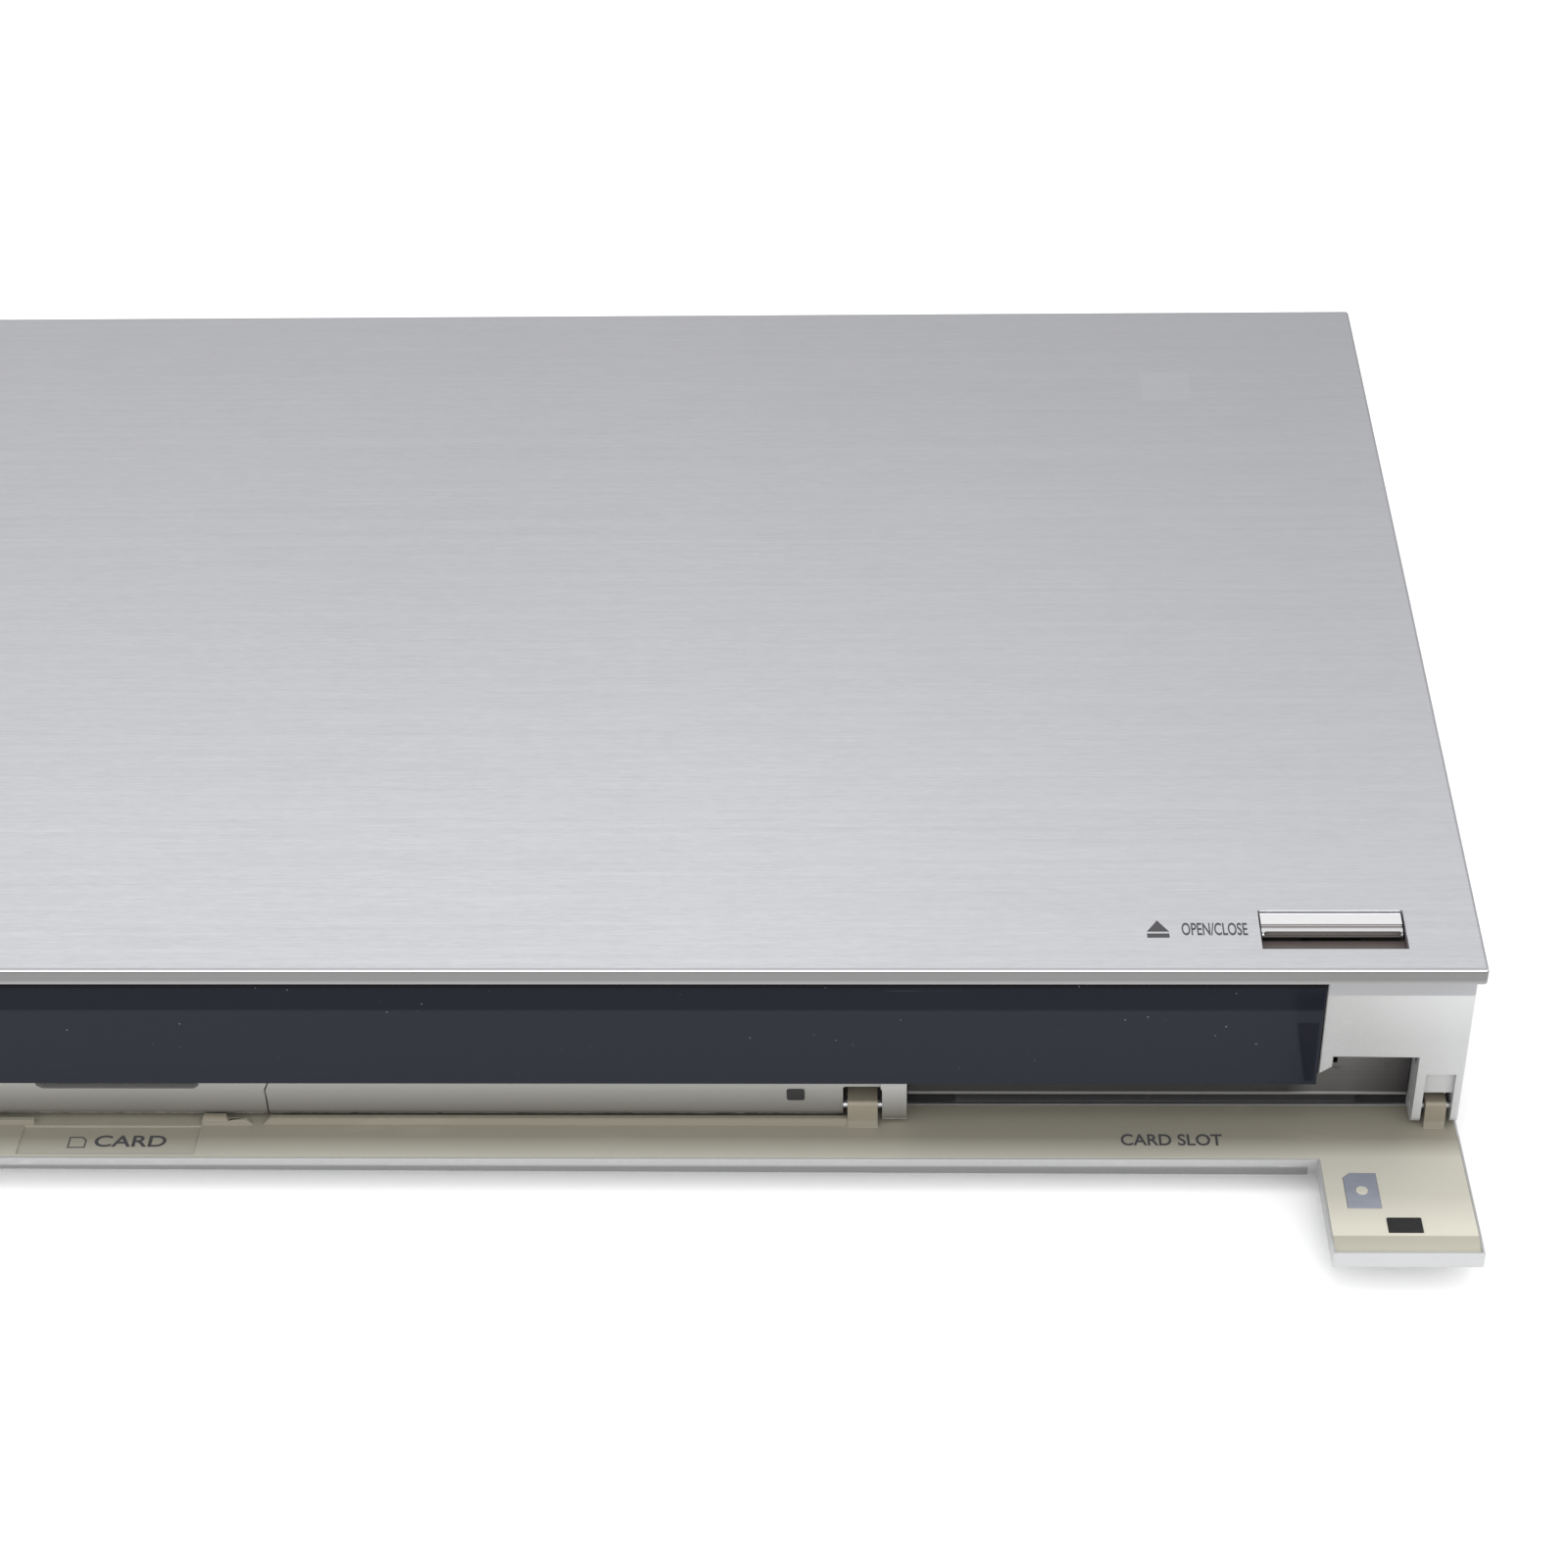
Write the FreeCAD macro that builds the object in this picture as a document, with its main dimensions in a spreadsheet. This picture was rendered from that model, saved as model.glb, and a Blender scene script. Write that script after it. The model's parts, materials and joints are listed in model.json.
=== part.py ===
import FreeCAD, Part
import math
import os
import re
import Sketcher

# Slim full-width disc recorder with its front flap hanging open, in millimetres.
# X runs to the right, Y to the rear and Z up. Pieces are drawn in the cabinet's own frame:
# X = 0 in the middle, Y = 0 at the front lip of the top panel, Z = 0 at the bottom of the feet.
# The flap and what it carries are drawn closed, around the hinge axis, and then swung open.
# Every piece is moved back by origin_shift, which puts the origin below the middle of the whole.

Vector = FreeCAD.Vector
Rotation = FreeCAD.Rotation

SIZES = {
    # Cabinet
    "cabinet_width": 430.0,
    "cabinet_depth": 178.0,
    "cabinet_height": 41.0,
    "foot_height": 4.2,
    "foot_radius": 9.0,
    "foot_side": 42.0,
    "foot_front": 30.0,
    "foot_rear": 24.0,
    "panel_sheet": 1.2,
    "lip_height": 2.6,
    "lip_wall": 1.0,
    "cover_sheet": 0.8,
    "cover_inset": 0.3,
    "flange_height": 2.4,
    "chassis_sheet": 0.8,
    "chassis_flange": 9.0,
    "post_radius": 4.0,
    "vent_count": 12,
    "vent_pitch": 7.0,
    "vent_width": 2.0,
    "vent_height": 12.0,
    "side_vent_front": 40.0,
    "side_vent_low": 20.0,
    "screw_head_radius": 3.0,
    "screw_head_height": 1.6,
    "screw_spacing": 150.0,
    # Gaps: between fixed trim, between a moving piece and its neighbour
    "seam_gap": 0.2,
    "run_gap": 0.3,
    # Front: distances of the faces behind the lip, and heights
    "front_depth": 10.0,
    "window_face": 3.6,
    "window_wall": 2.2,
    "window_bottom": 15.0,
    "bezel_face": 4.0,
    "bezel_wall": 1.8,
    "bezel_width": 21.3,
    "bezel_inset": 0.1,
    "bezel_return": 5.4,
    "frame_wall": 2.0,
    "frame_ledge": 1.4,
    "display_x": 32.0,
    "display_width": 85.0,
    "display_height": 14.0,
    "display_depth": 5.0,
    "display_low": 19.0,
    # Cut-out and hinge bracket of the right bezel
    "cut_inset": 2.0,
    "cut_top": 20.2,
    "cut_step": 18.2,
    "cut_foot": 16.6,
    "bracket_width": 6.8,
    "bracket_top": 16.7,
    "bracket_low": 6.1,
    "bracket_nose": 2.0,
    "bracket_recess": 1.0,
    "inner_leg": 1.3,
    "outer_leg": 1.1,
    "arm_window_top": 12.1,
    # Bars under the window
    "bar_face": 4.4,
    "bar_low_face": 5.2,
    "bar_bend": 10.6,
    "bar_bottom": 6.3,
    "bar_nose": 1.8,
    "bar_end_x": 133.05,
    "seam_x": 37.4,
    "ear_face": 4.2,
    "notch_top": 13.5,
    "memory_slot_x": 15.5,
    "memory_slot_width": 24.4,
    "memory_slot_floor": 12.8,
    "memory_reader_depth": 34.0,
    "memory_reader_wall": 2.0,
    # Flap, drawn closed around the hinge axis
    "pivot_y": 6.1,
    "pivot_z": 8.5,
    "flap_open": 85.0,
    "flap_offset": 2.8,
    "flap_wall": 2.9,
    "liner_wall": 0.8,
    "flap_tail": 3.5,
    "strip_height": 9.35,
    "strip_chamfer": 1.0,
    "flap_gap": 0.4,
    "flap_side_gap": 0.2,
    "flap_rim": 0.35,
    "flap_corner": 0.5,
    "tongue_bevel": 2.4,
    "tongue_bevel_depth": 0.5,
    "arm_width": 4.5,
    "arm_gap": 0.65,
    "end_arm_width": 3.1,
    "end_arm_inset": 3.35,
    "middle_arm_x": 126.5,
    "inner_arm_x": -38.0,
    "outer_arm_inset": 9.3,
    "knuckle_back": 1.95,
    "knuckle_half": 2.1,
    "knuckle_round": 0.6,
    "pin_radius": 0.6,
    "pin_fit": 0.05,
    "pin_hold": 3.0,
    "rib_height": 1.4,
    "rib_low": 1.0,
    "rib_thickness": 0.8,
    "rib_start_x": 36.4,
    "tab_x": 27.35,
    "tab_width": 4.2,
    "tab_height": 1.65,
    "ridge_height": 0.9,
    "ridge_length": 3.4,
    "label_left_x": 0.5,
    "label_right_x": 27.2,
    "label_low": 2.0,
    "label_high": 8.4,
    "label_depth": 0.3,
    "catch_left": 3.2,
    "catch_width": 4.9,
    "catch_low": 12.2,
    "catch_height": 7.7,
    "catch_sheet": 0.3,
    "catch_clip": 1.0,
    "stake_radius": 0.9,
    "stake_height": 0.12,
    "cushion_left": 8.4,
    "cushion_width": 5.0,
    "cushion_low": 22.0,
    "cushion_height": 3.1,
    "cushion_depth": 0.3,
    "magnet_width": 4.0,
    "magnet_height": 6.0,
    "magnet_depth": 2.0,
    # Card bay
    "shield_y": 8.6,
    "shield_sheet": 0.6,
    "shield_bottom": 8.3,
    "shield_top": 22.0,
    "hem_radius": 0.5,
    "reader_width": 60.0,
    "reader_depth": 64.0,
    "reader_height": 5.0,
    "card_slot_width": 55.0,
    "card_slot_height": 1.2,
    "card_slot_low": 7.1,
    "card_slot_depth": 58.0,
    # Keys in the top panel
    "key_side": 10.7,
    "key_front": 4.6,
    "key_width": 20.8,
    "key_depth": 7.8,
    "key_cap_depth": 3.6,
    "key_cap_height": 1.0,
    "key_sunk": 0.4,
    "key_nose": 0.8,
    "key_travel": 0.5,
    "stem_width": 8.0,
    "stem_depth": 2.0,
    "stem_gap": 0.4,
    "well_floor": 0.4,
    "well_border": 1.0,
    "switch_height": 1.4,
    "switch_width": 6.0,
    "board_sheet": 1.2,
    "key_board_depth": 10.0,
    # Disc tray, drawn around the middle of the drive
    "tray_front_width": 134.0,
    "tray_front_wall": 1.9,
    "tray_width": 128.0,
    "tray_low": 19.8,
    "tray_thickness": 5.5,
    "tray_rear": 159.0,
    "spindle_y": 68.0,
    "disc_seat_radius": 60.5,
    "disc_seat_depth": 1.4,
    "small_seat_radius": 40.5,
    "small_seat_depth": 0.8,
    "tray_slot_half": 24.0,
    "tray_slot_front": 44.0,
    "tray_slot_rear": 130.0,
    "frame_tray_gap": 0.8,
    # Rack and pinion
    "tooth_module": 0.8,
    "pinion_teeth": 15,
    "rack_x": 57.5,
    "rack_back": 3.2,
    "rack_height": 2.6,
    "groove_height": 3.1,
    "gear_y": 28.0,
    "gear_bore": 1.55,
    "gear_post_radius": 1.5,
    "pulley_radius": 10.6,
    "pulley_rim": 0.9,
    "motor_x": 24.0,
    "motor_y": 32.0,
    "motor_radius": 8.5,
    "motor_height": 6.0,
    "motor_pulley_radius": 3.0,
    "belt_thickness": 1.0,
    "belt_low": 15.0,
    "belt_height": 1.6,
    # Drive chassis
    "drive_half": 74.0,
    "drive_front": 11.2,
    "drive_rear": 169.0,
    "drive_low": 8.0,
    "drive_high": 30.0,
    "drive_sheet": 0.8,
    "well_half": 46.0,
    "well_rear": 151.0,
    "shelf_rear": 44.0,
    "shelf_front": 14.5,
    "shelf_low": 12.3,
    "shelf_wall": 1.2,
    # Lift deck with spindle and pickup
    "deck_pivot_y": 144.0,
    "deck_low": 10.5,
    "deck_sheet": 2.0,
    "deck_front": 51.0,
    "deck_neck_half": 22.5,
    "deck_wide_front": 86.0,
    "deck_half": 40.0,
    "deck_rear": 147.0,
    "trunnion_radius": 1.0,
    "trunnion_reach": 10.0,
    "spindle_motor_radius": 11.0,
    "spindle_motor_height": 2.4,
    "turntable_radius": 14.5,
    "turntable_height": 3.4,
    "hub_radius": 7.3,
    "hub_height": 0.9,
    "pickup_front": 83.5,
    "pickup_length": 24.5,
    "pickup_half": 21.5,
    "pickup_height": 4.9,
    "lens_inset": 7.5,
    "lens_radius": 3.0,
    "lens_height": 1.0,
    "rod_x": 19.5,
    "rod_radius": 1.2,
    "rod_above_deck": 1.7,
    "rod_post": 2.4,
    "rod_rear": 142.6,
    "screw_x": 26.5,
    "screw_radius": 1.0,
    "screw_above_deck": 1.2,
    "screw_front": 87.5,
    "sled_arm_front": 92.0,
    "sled_arm_length": 6.0,
    "sled_motor_front": 134.7,
    "sled_motor_length": 11.0,
    "sled_motor_radius": 4.0,
    # Clamp puck in the drive cover
    "puck_neck_radius": 12.0,
    "puck_flange_radius": 14.5,
    "puck_flange_height": 1.0,
    "puck_drop": 4.0,
    # Boards and power
    "front_board_left": -50.0,
    "front_board_right": 124.0,
    "main_left": 12.0,
    "main_right": 97.0,
    "main_front": 60.0,
    "main_low": 11.0,
    "heatsink_size": 34.0,
    "heatsink_x": 50.0,
    "heatsink_y": 100.0,
    "heatsink_height": 16.0,
    "heatsink_base": 4.0,
    "fin_count": 8,
    "fin_wall": 1.2,
    "power_left": -47.0,
    "power_right": 0.0,
    "power_front": 60.0,
    "power_rear": 150.0,
    "power_low": 9.0,
    "transformer_width": 26.0,
    "transformer_depth": 28.0,
    "transformer_height": 18.0,
    # Sockets on the rear panel
    "antenna_radius": 4.7,
    "antenna_reach": 10.0,
    "antenna_bore": 0.8,
    "antenna_low_z": 15.8,
    "antenna_spacing": 13.5,
    "antenna_x": 76.8,
    "tuner_left": 70.0,
    "tuner_depth": 32.0,
    "tuner_top": 35.0,
    "video_x": 23.5,
    "video_width": 15.0,
    "video_height": 5.8,
    "network_x": 46.0,
    "network_width": 16.0,
    "network_height": 13.6,
    "socket_depth": 14.0,
    "socket_reach": 0.6,
    "jack_x": 112.0,
    "jack_spacing": 14.0,
    "jack_z": 22.0,
    "jack_radius": 4.15,
    "jack_reach": 8.0,
    "jack_body": 6.0,
    "jack_flange": 11.0,
    "inlet_x": -36.0,
    "inlet_z": 21.0,
    "inlet_width": 22.0,
    "inlet_height": 14.0,
    "inlet_depth": 15.0,
    "inlet_pin_spacing": 8.6,
    "inlet_pin_radius": 1.2,
    "fan_x": -6.0,
    "fan_size": 30.0,
    "fan_depth": 10.0,
    "fan_low": 6.4,
    "fan_bore": 14.0,
    "fan_hub": 6.5,
    "fan_blades": 7,
    "panel_hole_gap": 0.4,
    # Hard disk and its bracket
    "disk_x": 152.0,
    "disk_width": 101.6,
    "disk_length": 147.0,
    "disk_height": 26.1,
    "disk_front": 21.0,
    "bracket_sheet": 0.8,
    "bracket_overhang": 3.2,
    "bracket_rear": 3.0,
}

PLACES = {
    "panel_right": "cabinet_width / 2",
    "lip_bottom": "cabinet_height - lip_height",
    "panel_under": "cabinet_height - panel_sheet",
    "cover_right": "panel_right - cover_inset",
    "roof_low": "lip_bottom - cover_sheet",
    "side_inner": "cover_right - cover_sheet",
    "pan_right": "side_inner - run_gap",
    "floor_top": "foot_height + chassis_sheet",
    "rear_outer": "cabinet_depth - cover_sheet",
    "rear_inner": "rear_outer - chassis_sheet",
    "bezel_right": "cover_right - bezel_inset",
    "bezel_left": "bezel_right - bezel_width",
    "bezel_top": "lip_bottom - flange_height - 0.1",
    "bezel_back": "bezel_face + bezel_wall",
    "bezel_rear": "bezel_face + bezel_return",
    "window_right": "bezel_left - seam_gap",
    "window_top": "lip_bottom - seam_gap",
    "window_back": "window_face + window_wall",
    "frame_back": "window_back + frame_wall",
    "frame_bottom": "window_bottom - 0.1",
    "bar_top": "window_bottom - 0.1",
    "flap_left": "flap_gap - bezel_left",
    "flap_right": "panel_right - flap_side_gap",
    "flap_inner": "0 - flap_offset",
    "flap_outer": "0 - flap_offset - flap_wall",
    "liner_back": "0 - flap_offset - liner_wall",
    "tongue_top": "lip_bottom - flap_gap - pivot_z",
    "strip_closed_top": "pivot_z + strip_height",
    "face_closed": "pivot_y + flap_outer",
    "end_arm_x": "bezel_right - end_arm_inset",
    "outer_arm_x": "outer_arm_inset - bezel_left",
    "bay_left": "bar_end_x",
    "bay_right": "bezel_right - bracket_width",
    "bay_middle": "(bay_left + bay_right) / 2",
    "key_middle": "panel_right - key_side - key_width / 2",
    "key_rear": "key_front + key_depth",
    "key_top": "cabinet_height - key_sunk",
    "key_low": "key_top - key_cap_height",
    "cap_rear": "key_rear - run_gap",
    "cap_front": "cap_rear - key_cap_depth",
    "stem_middle": "(cap_rear + cap_front) / 2",
    "stem_low": "roof_low - 1.1",
    "key_board_top": "stem_low - run_gap - key_travel - switch_height",
    "stem_clear": "stem_middle - stem_depth / 2 - stem_gap",
    "key_board_front": "stem_clear + seam_gap",
    "tray_x": "run_gap + tray_front_width / 2 - bezel_left",
    "tray_half": "tray_width / 2",
    "tray_top": "tray_low + tray_thickness",
    "window_left": "tray_x + tray_front_width / 2 + run_gap",
    "tray_front_low": "strip_closed_top + flap_gap",
    "channel_half": "tray_half + 0.4",
    "ledge_top": "tray_low - run_gap",
    "seat_floor": "tray_top - disc_seat_depth",
    "pitch_radius": "tooth_module * pinion_teeth / 2",
    "gear_x": "tray_x + rack_x - pitch_radius",
    "shelf_top": "shelf_low + shelf_wall",
    "gear_top": "tray_low + groove_height - run_gap",
    "belt_top": "belt_low + belt_height",
    "deck_top": "deck_low + deck_sheet",
    "deck_pivot_z": "deck_low + deck_sheet / 2",
    "spindle_motor_top": "deck_top + spindle_motor_height",
    "turntable_low": "spindle_motor_top + run_gap",
    "pickup_low": "deck_top + run_gap",
    "rod_z": "deck_top + rod_above_deck",
    "screw_z": "deck_top + screw_above_deck",
    "rod_front": "pickup_front - run_gap - rod_post",
    "drive_cover_top": "drive_high + drive_sheet",
    "board_rear": "display_depth + frame_back",
    "main_top": "main_low + board_sheet",
    "power_top": "power_low + board_sheet",
    "disk_low": "roof_low - run_gap - disk_height",
    "disk_left": "disk_x - disk_width / 2",
    "disk_rear": "disk_front + disk_length",
    "bracket_left": "disk_left - bracket_overhang",
    "bracket_right": "disk_left + disk_width + bracket_overhang",
    "fan_middle_z": "fan_low + fan_size / 2",
    "tuner_right": "main_right",
    "front_reach": "pivot_y + flap_outer * cos(flap_open) - tongue_top * sin(flap_open)",
    "rear_reach": "rear_outer + antenna_reach",
    "origin_shift": "0 - (front_reach + rear_reach) / 2",
}

PLANE_ROLE = {"XY": "XY_Plane", "XZ": "XZ_Plane", "YZ": "YZ_Plane"}
AXIS_TURN = {
    "X": Rotation(Vector(0, 1, 0), 90),
    "Y": Rotation(Vector(1, 0, 0), -90),
    "Z": Rotation(),
}
AXIS_VECTOR = {"X": Vector(1, 0, 0), "Y": Vector(0, 1, 0), "Z": Vector(0, 0, 1)}
NAME_PATTERN = re.compile(r"[a-z][a-z_]*")

document = FreeCAD.newDocument("recorder")
pieces = []


# Sheets and expressions

def linked(text, inside_places=False):
    """The expression with each size and place written as a reference to its sheet's cell."""
    def reference(match):
        word = match.group(0)
        if word in SIZES:
            return "Sizes." + word
        if word in PLACES and not inside_places:
            return "Places." + word
        return word
    return NAME_PATTERN.sub(reference, str(text))


def fill_sheet(title, cells):
    """A sheet with one row per cell: its words, its content and its alias."""
    sheet = document.addObject("Spreadsheet::Sheet", title)
    for row, (alias, content) in enumerate(cells.items(), start=1):
        sheet.set(f"A{row}", alias.replace("_", " "))
        sheet.set(f"B{row}", content)
        sheet.setAlias(f"B{row}", alias)
    return sheet


sizes = fill_sheet("Sizes", {alias: str(number) for alias, number in SIZES.items()})
places = fill_sheet("Places", {alias: "=" + linked(text, True) for alias, text in PLACES.items()})
document.recompute()


def measure(text):
    """The number that an expression gives now."""
    value = places.evalExpression(linked(text))
    return float(getattr(value, "Value", value))


def bind(thing, target, text):
    thing.setExpression(target, linked(text))


# Bodies made from sketches

def new_body(name):
    return document.addObject("PartDesign::Body", "body_" + name)


def rectangle(left, low, right, high):
    """The four corners of an upright rectangle."""
    return [(left, low), (right, low), (right, high), (left, high)]


def hold(sketch, geometry, vertex, across, up):
    """Ties a point of the sketch to the sketch's origin by two distances."""
    for kind, text in (("DistanceX", across), ("DistanceY", up)):
        rule = Sketcher.Constraint(kind, -1, 1, geometry, vertex, measure(text))
        index = sketch.addConstraint(rule)
        bind(sketch, f"Constraints[{index}]", text)


def draw_polygon(sketch, points):
    first = sketch.GeometryCount
    corners = [Vector(measure(across), measure(up), 0) for across, up in points]
    for start, end in zip(corners, corners[1:] + corners[:1]):
        sketch.addGeometry(Part.LineSegment(start, end), False)
    count = len(points)
    for index in range(count):
        following = first + (index + 1) % count
        sketch.addConstraint(Sketcher.Constraint("Coincident", first + index, 2, following, 1))
    for index, (across, up) in enumerate(points):
        hold(sketch, first + index, 1, across, up)


def draw_circle(sketch, across, up, radius):
    middle = Vector(measure(across), measure(up), 0)
    index = sketch.addGeometry(Part.Circle(middle, Vector(0, 0, 1), measure(radius)), False)
    rule = sketch.addConstraint(Sketcher.Constraint("Radius", index, measure(radius)))
    bind(sketch, f"Constraints[{rule}]", radius)
    hold(sketch, index, 3, across, up)


def draw_sketch(body, plane, start, outlines):
    """A sketch parallel to one of the body's origin planes. A list is a polygon, a tuple a circle."""
    sketch = body.newObject("Sketcher::SketchObject", "sketch_" + plane.lower())
    features = body.Origin.OriginFeatures
    base = next(feature for feature in features if feature.Role == PLANE_ROLE[plane])
    sketch.AttachmentSupport = [(base, "")]
    sketch.MapMode = "FlatFace"
    sign = "0 - " if plane == "XZ" else "0 + "
    bind(sketch, "AttachmentOffset.Base.z", f"{sign}({start})")
    for outline in outlines:
        if isinstance(outline, tuple):
            draw_circle(sketch, *outline)
        else:
            draw_polygon(sketch, outline)
    return sketch


def pad(body, plane, start, end, *outlines):
    """Adds the outlines to the body, from start to end along the plane's axis."""
    feature = body.newObject("PartDesign::Pad", "pad")
    feature.Profile = draw_sketch(body, plane, start, outlines)
    feature.Reversed = plane == "XZ"
    bind(feature, "Length", f"({end}) - ({start})")
    document.recompute()
    return feature


def pocket(body, plane, start, end, *outlines):
    """Takes the outlines out of the body, from start to end along the plane's axis."""
    before = body.Shape.Volume
    feature = body.newObject("PartDesign::Pocket", "pocket")
    feature.Profile = draw_sketch(body, plane, start, outlines)
    feature.Reversed = plane != "XZ"
    bind(feature, "Length", f"({end}) - ({start})")
    document.recompute()
    if body.Shape.Volume > before - 1e-6:
        raise RuntimeError(f"a pocket of {body.Name} cuts nothing")
    return feature


def edges_along(shape, axis, wanted):
    """Names of the straight edges that run along an axis and whose middle is wanted."""
    names = []
    for number, edge in enumerate(shape.Edges, start=1):
        if not isinstance(edge.Curve, Part.Line):
            continue
        along = abs(edge.tangentAt(edge.FirstParameter).dot(AXIS_VECTOR[axis])) > 0.999
        if along and wanted(edge.CenterOfMass):
            names.append(f"Edge{number}")
    return names


def round_edges(body, axis, radius, wanted, kind="Fillet"):
    """Rounds or chamfers the edges of the body that run along an axis and are wanted."""
    tip = body.Tip
    names = edges_along(tip.Shape, axis, wanted)
    if not names:
        raise RuntimeError(f"no edge to round on {body.Name}")
    feature = body.newObject("PartDesign::" + kind, kind.lower())
    feature.Base = (tip, names)
    bind(feature, "Radius" if kind == "Fillet" else "Size", radius)
    document.recompute()
    return feature


# Primitives and booleans

def block(left, front, low, width, depth, height):
    """A box from its low corner and its three sizes."""
    box = document.addObject("Part::Box", "block")
    for target, text in (("Length", width), ("Width", depth), ("Height", height)):
        bind(box, target, text)
    for target, text in ((".Placement.Base.x", left), (".Placement.Base.z", low)):
        bind(box, target, text)
    box.addProperty("App::PropertyString", "Front")
    box.Front = str(front)
    bind(box, ".Placement.Base.y", front)
    return box


def rod(axis, start_x, start_y, start_z, radius, length):
    """A cylinder along an axis, from the middle of its first end."""
    cylinder = document.addObject("Part::Cylinder", "rod")
    bind(cylinder, "Radius", radius)
    bind(cylinder, "Height", length)
    cylinder.Placement = FreeCAD.Placement(Vector(), AXIS_TURN[axis])
    bind(cylinder, ".Placement.Base.x", start_x)
    bind(cylinder, ".Placement.Base.z", start_z)
    cylinder.addProperty("App::PropertyString", "Front")
    cylinder.Front = str(start_y)
    bind(cylinder, ".Placement.Base.y", start_y)
    return cylinder


def joined(kind, name, *parts):
    result = document.addObject("Part::" + kind, name)
    if kind == "Compound":
        result.Links = list(parts)
    else:
        result.Shapes = list(parts)
    return result


def fuse(*parts):
    return joined("MultiFuse", "fuse", *parts)


def group(*parts):
    return joined("Compound", "group", *parts)


def cut(base, *tools):
    result = document.addObject("Part::Cut", "cut")
    result.Base = base
    result.Tool = tools[0] if len(tools) == 1 else fuse(*tools)
    return result


def drawn(shape):
    """A piece whose shape comes from points worked out by a formula."""
    feature = document.addObject("Part::Feature", "drawn")
    feature.Shape = shape
    return feature


# Placing finished pieces

def finish(thing, label):
    """Names a fixed piece and moves it to the origin that the whole recorder has."""
    front = getattr(thing, "Front", "0")
    bind(thing, ".Placement.Base.y", f"({front}) + origin_shift")
    thing.Label = label
    pieces.append(thing)
    return thing


def finish_on_flap(thing, label):
    """Names a piece that is drawn around the hinge axis and swings it open."""
    for name, share in (("x", 1), ("y", 0), ("z", 0)):
        thing.setExpression(".Placement.Rotation.Axis." + name, str(share))
    bind(thing, ".Placement.Rotation.Angle", "flap_open")
    bind(thing, ".Placement.Base.y", "pivot_y + origin_shift")
    bind(thing, ".Placement.Base.z", "pivot_z")
    thing.Label = label
    pieces.append(thing)
    return thing


# Casing

def make_top_panel():
    """Brushed plate with its four edges folded down, and an opening for each key."""
    body = new_body("top_panel")
    pad(body, "XY", "lip_bottom", "cabinet_height",
        rectangle("0 - panel_right", "0", "panel_right", "cabinet_depth"))
    pocket(body, "XY", "lip_bottom", "panel_under",
           rectangle("lip_wall - panel_right", "lip_wall", "panel_right - lip_wall",
                     "cabinet_depth - lip_wall"))
    for side in ("0 + ", "0 - "):
        middle = f"({side}key_middle)"
        pocket(body, "XY", "panel_under", "cabinet_height",
               rectangle(f"{middle} - key_width / 2", "key_front", f"{middle} + key_width / 2", "key_rear"))
    deep = measure("cabinet_depth")
    wide = measure("panel_right")
    round_edges(body, "Z", "lip_wall * 0.6",
                lambda middle: abs(abs(middle.x) - wide) < 0.01 and middle.y in (0, deep))
    round_edges(body, "X", "lip_wall * 0.4",
                lambda middle: middle.y < 0.01 and middle.z > measure("cabinet_height") - 0.01, "Chamfer")
    return finish(body, "top_panel")


def make_top_cover():
    """Folded sheet under the panel: roof, two sides, a front flange at the right and a rear flange."""
    body = new_body("top_cover")
    side_bottom = "floor_top + 1.2"
    pad(body, "XZ", "bezel_rear + run_gap", "cabinet_depth",
        [("0 - cover_right", side_bottom), ("0 - side_inner", side_bottom), ("0 - side_inner", "roof_low"),
         ("side_inner", "roof_low"), ("side_inner", side_bottom), ("cover_right", side_bottom),
         ("cover_right", "lip_bottom"), ("0 - cover_right", "lip_bottom")])
    pad(body, "XZ", "key_board_front", "bezel_rear + run_gap",
        rectangle("0 - cover_right", "roof_low", "cover_right", "lip_bottom"))
    pad(body, "XZ", "window_back + run_gap", "key_board_front",
        rectangle("seam_gap - bezel_left", "roof_low", "cover_right", "lip_bottom"))
    pad(body, "XZ", "window_face", "window_back + run_gap",
        rectangle("bezel_left + seam_gap", "roof_low", "cover_right", "lip_bottom"))
    pad(body, "XZ", "window_face", "window_face + cover_sheet",
        rectangle("bezel_left + seam_gap", "lip_bottom - flange_height", "cover_right", "lip_bottom"))
    pad(body, "XZ", "rear_outer", "cabinet_depth",
        rectangle("0 - side_inner", "lip_bottom - 4", "side_inner", "lip_bottom"))
    slots = []
    for number in range(int(SIZES["vent_count"])):
        front = f"side_vent_front + vent_pitch * {number}"
        slots.append(rectangle(front, "side_vent_low", f"{front} + vent_width",
                               "side_vent_low + vent_height"))
    pocket(body, "YZ", "0 - cover_right - 1", "cover_right + 1", *slots)
    openings = []
    for side in ("0 + ", "0 - "):
        middle = f"({side}key_middle)"
        openings.append(rectangle(f"{middle} - stem_width / 2 - stem_gap",
                                  "stem_middle - stem_depth / 2 - stem_gap",
                                  f"{middle} + stem_width / 2 + stem_gap",
                                  "stem_middle + stem_depth / 2 + stem_gap"))
    pocket(body, "XY", "roof_low", "lip_bottom", *openings)
    return finish(body, "top_cover")


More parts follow.
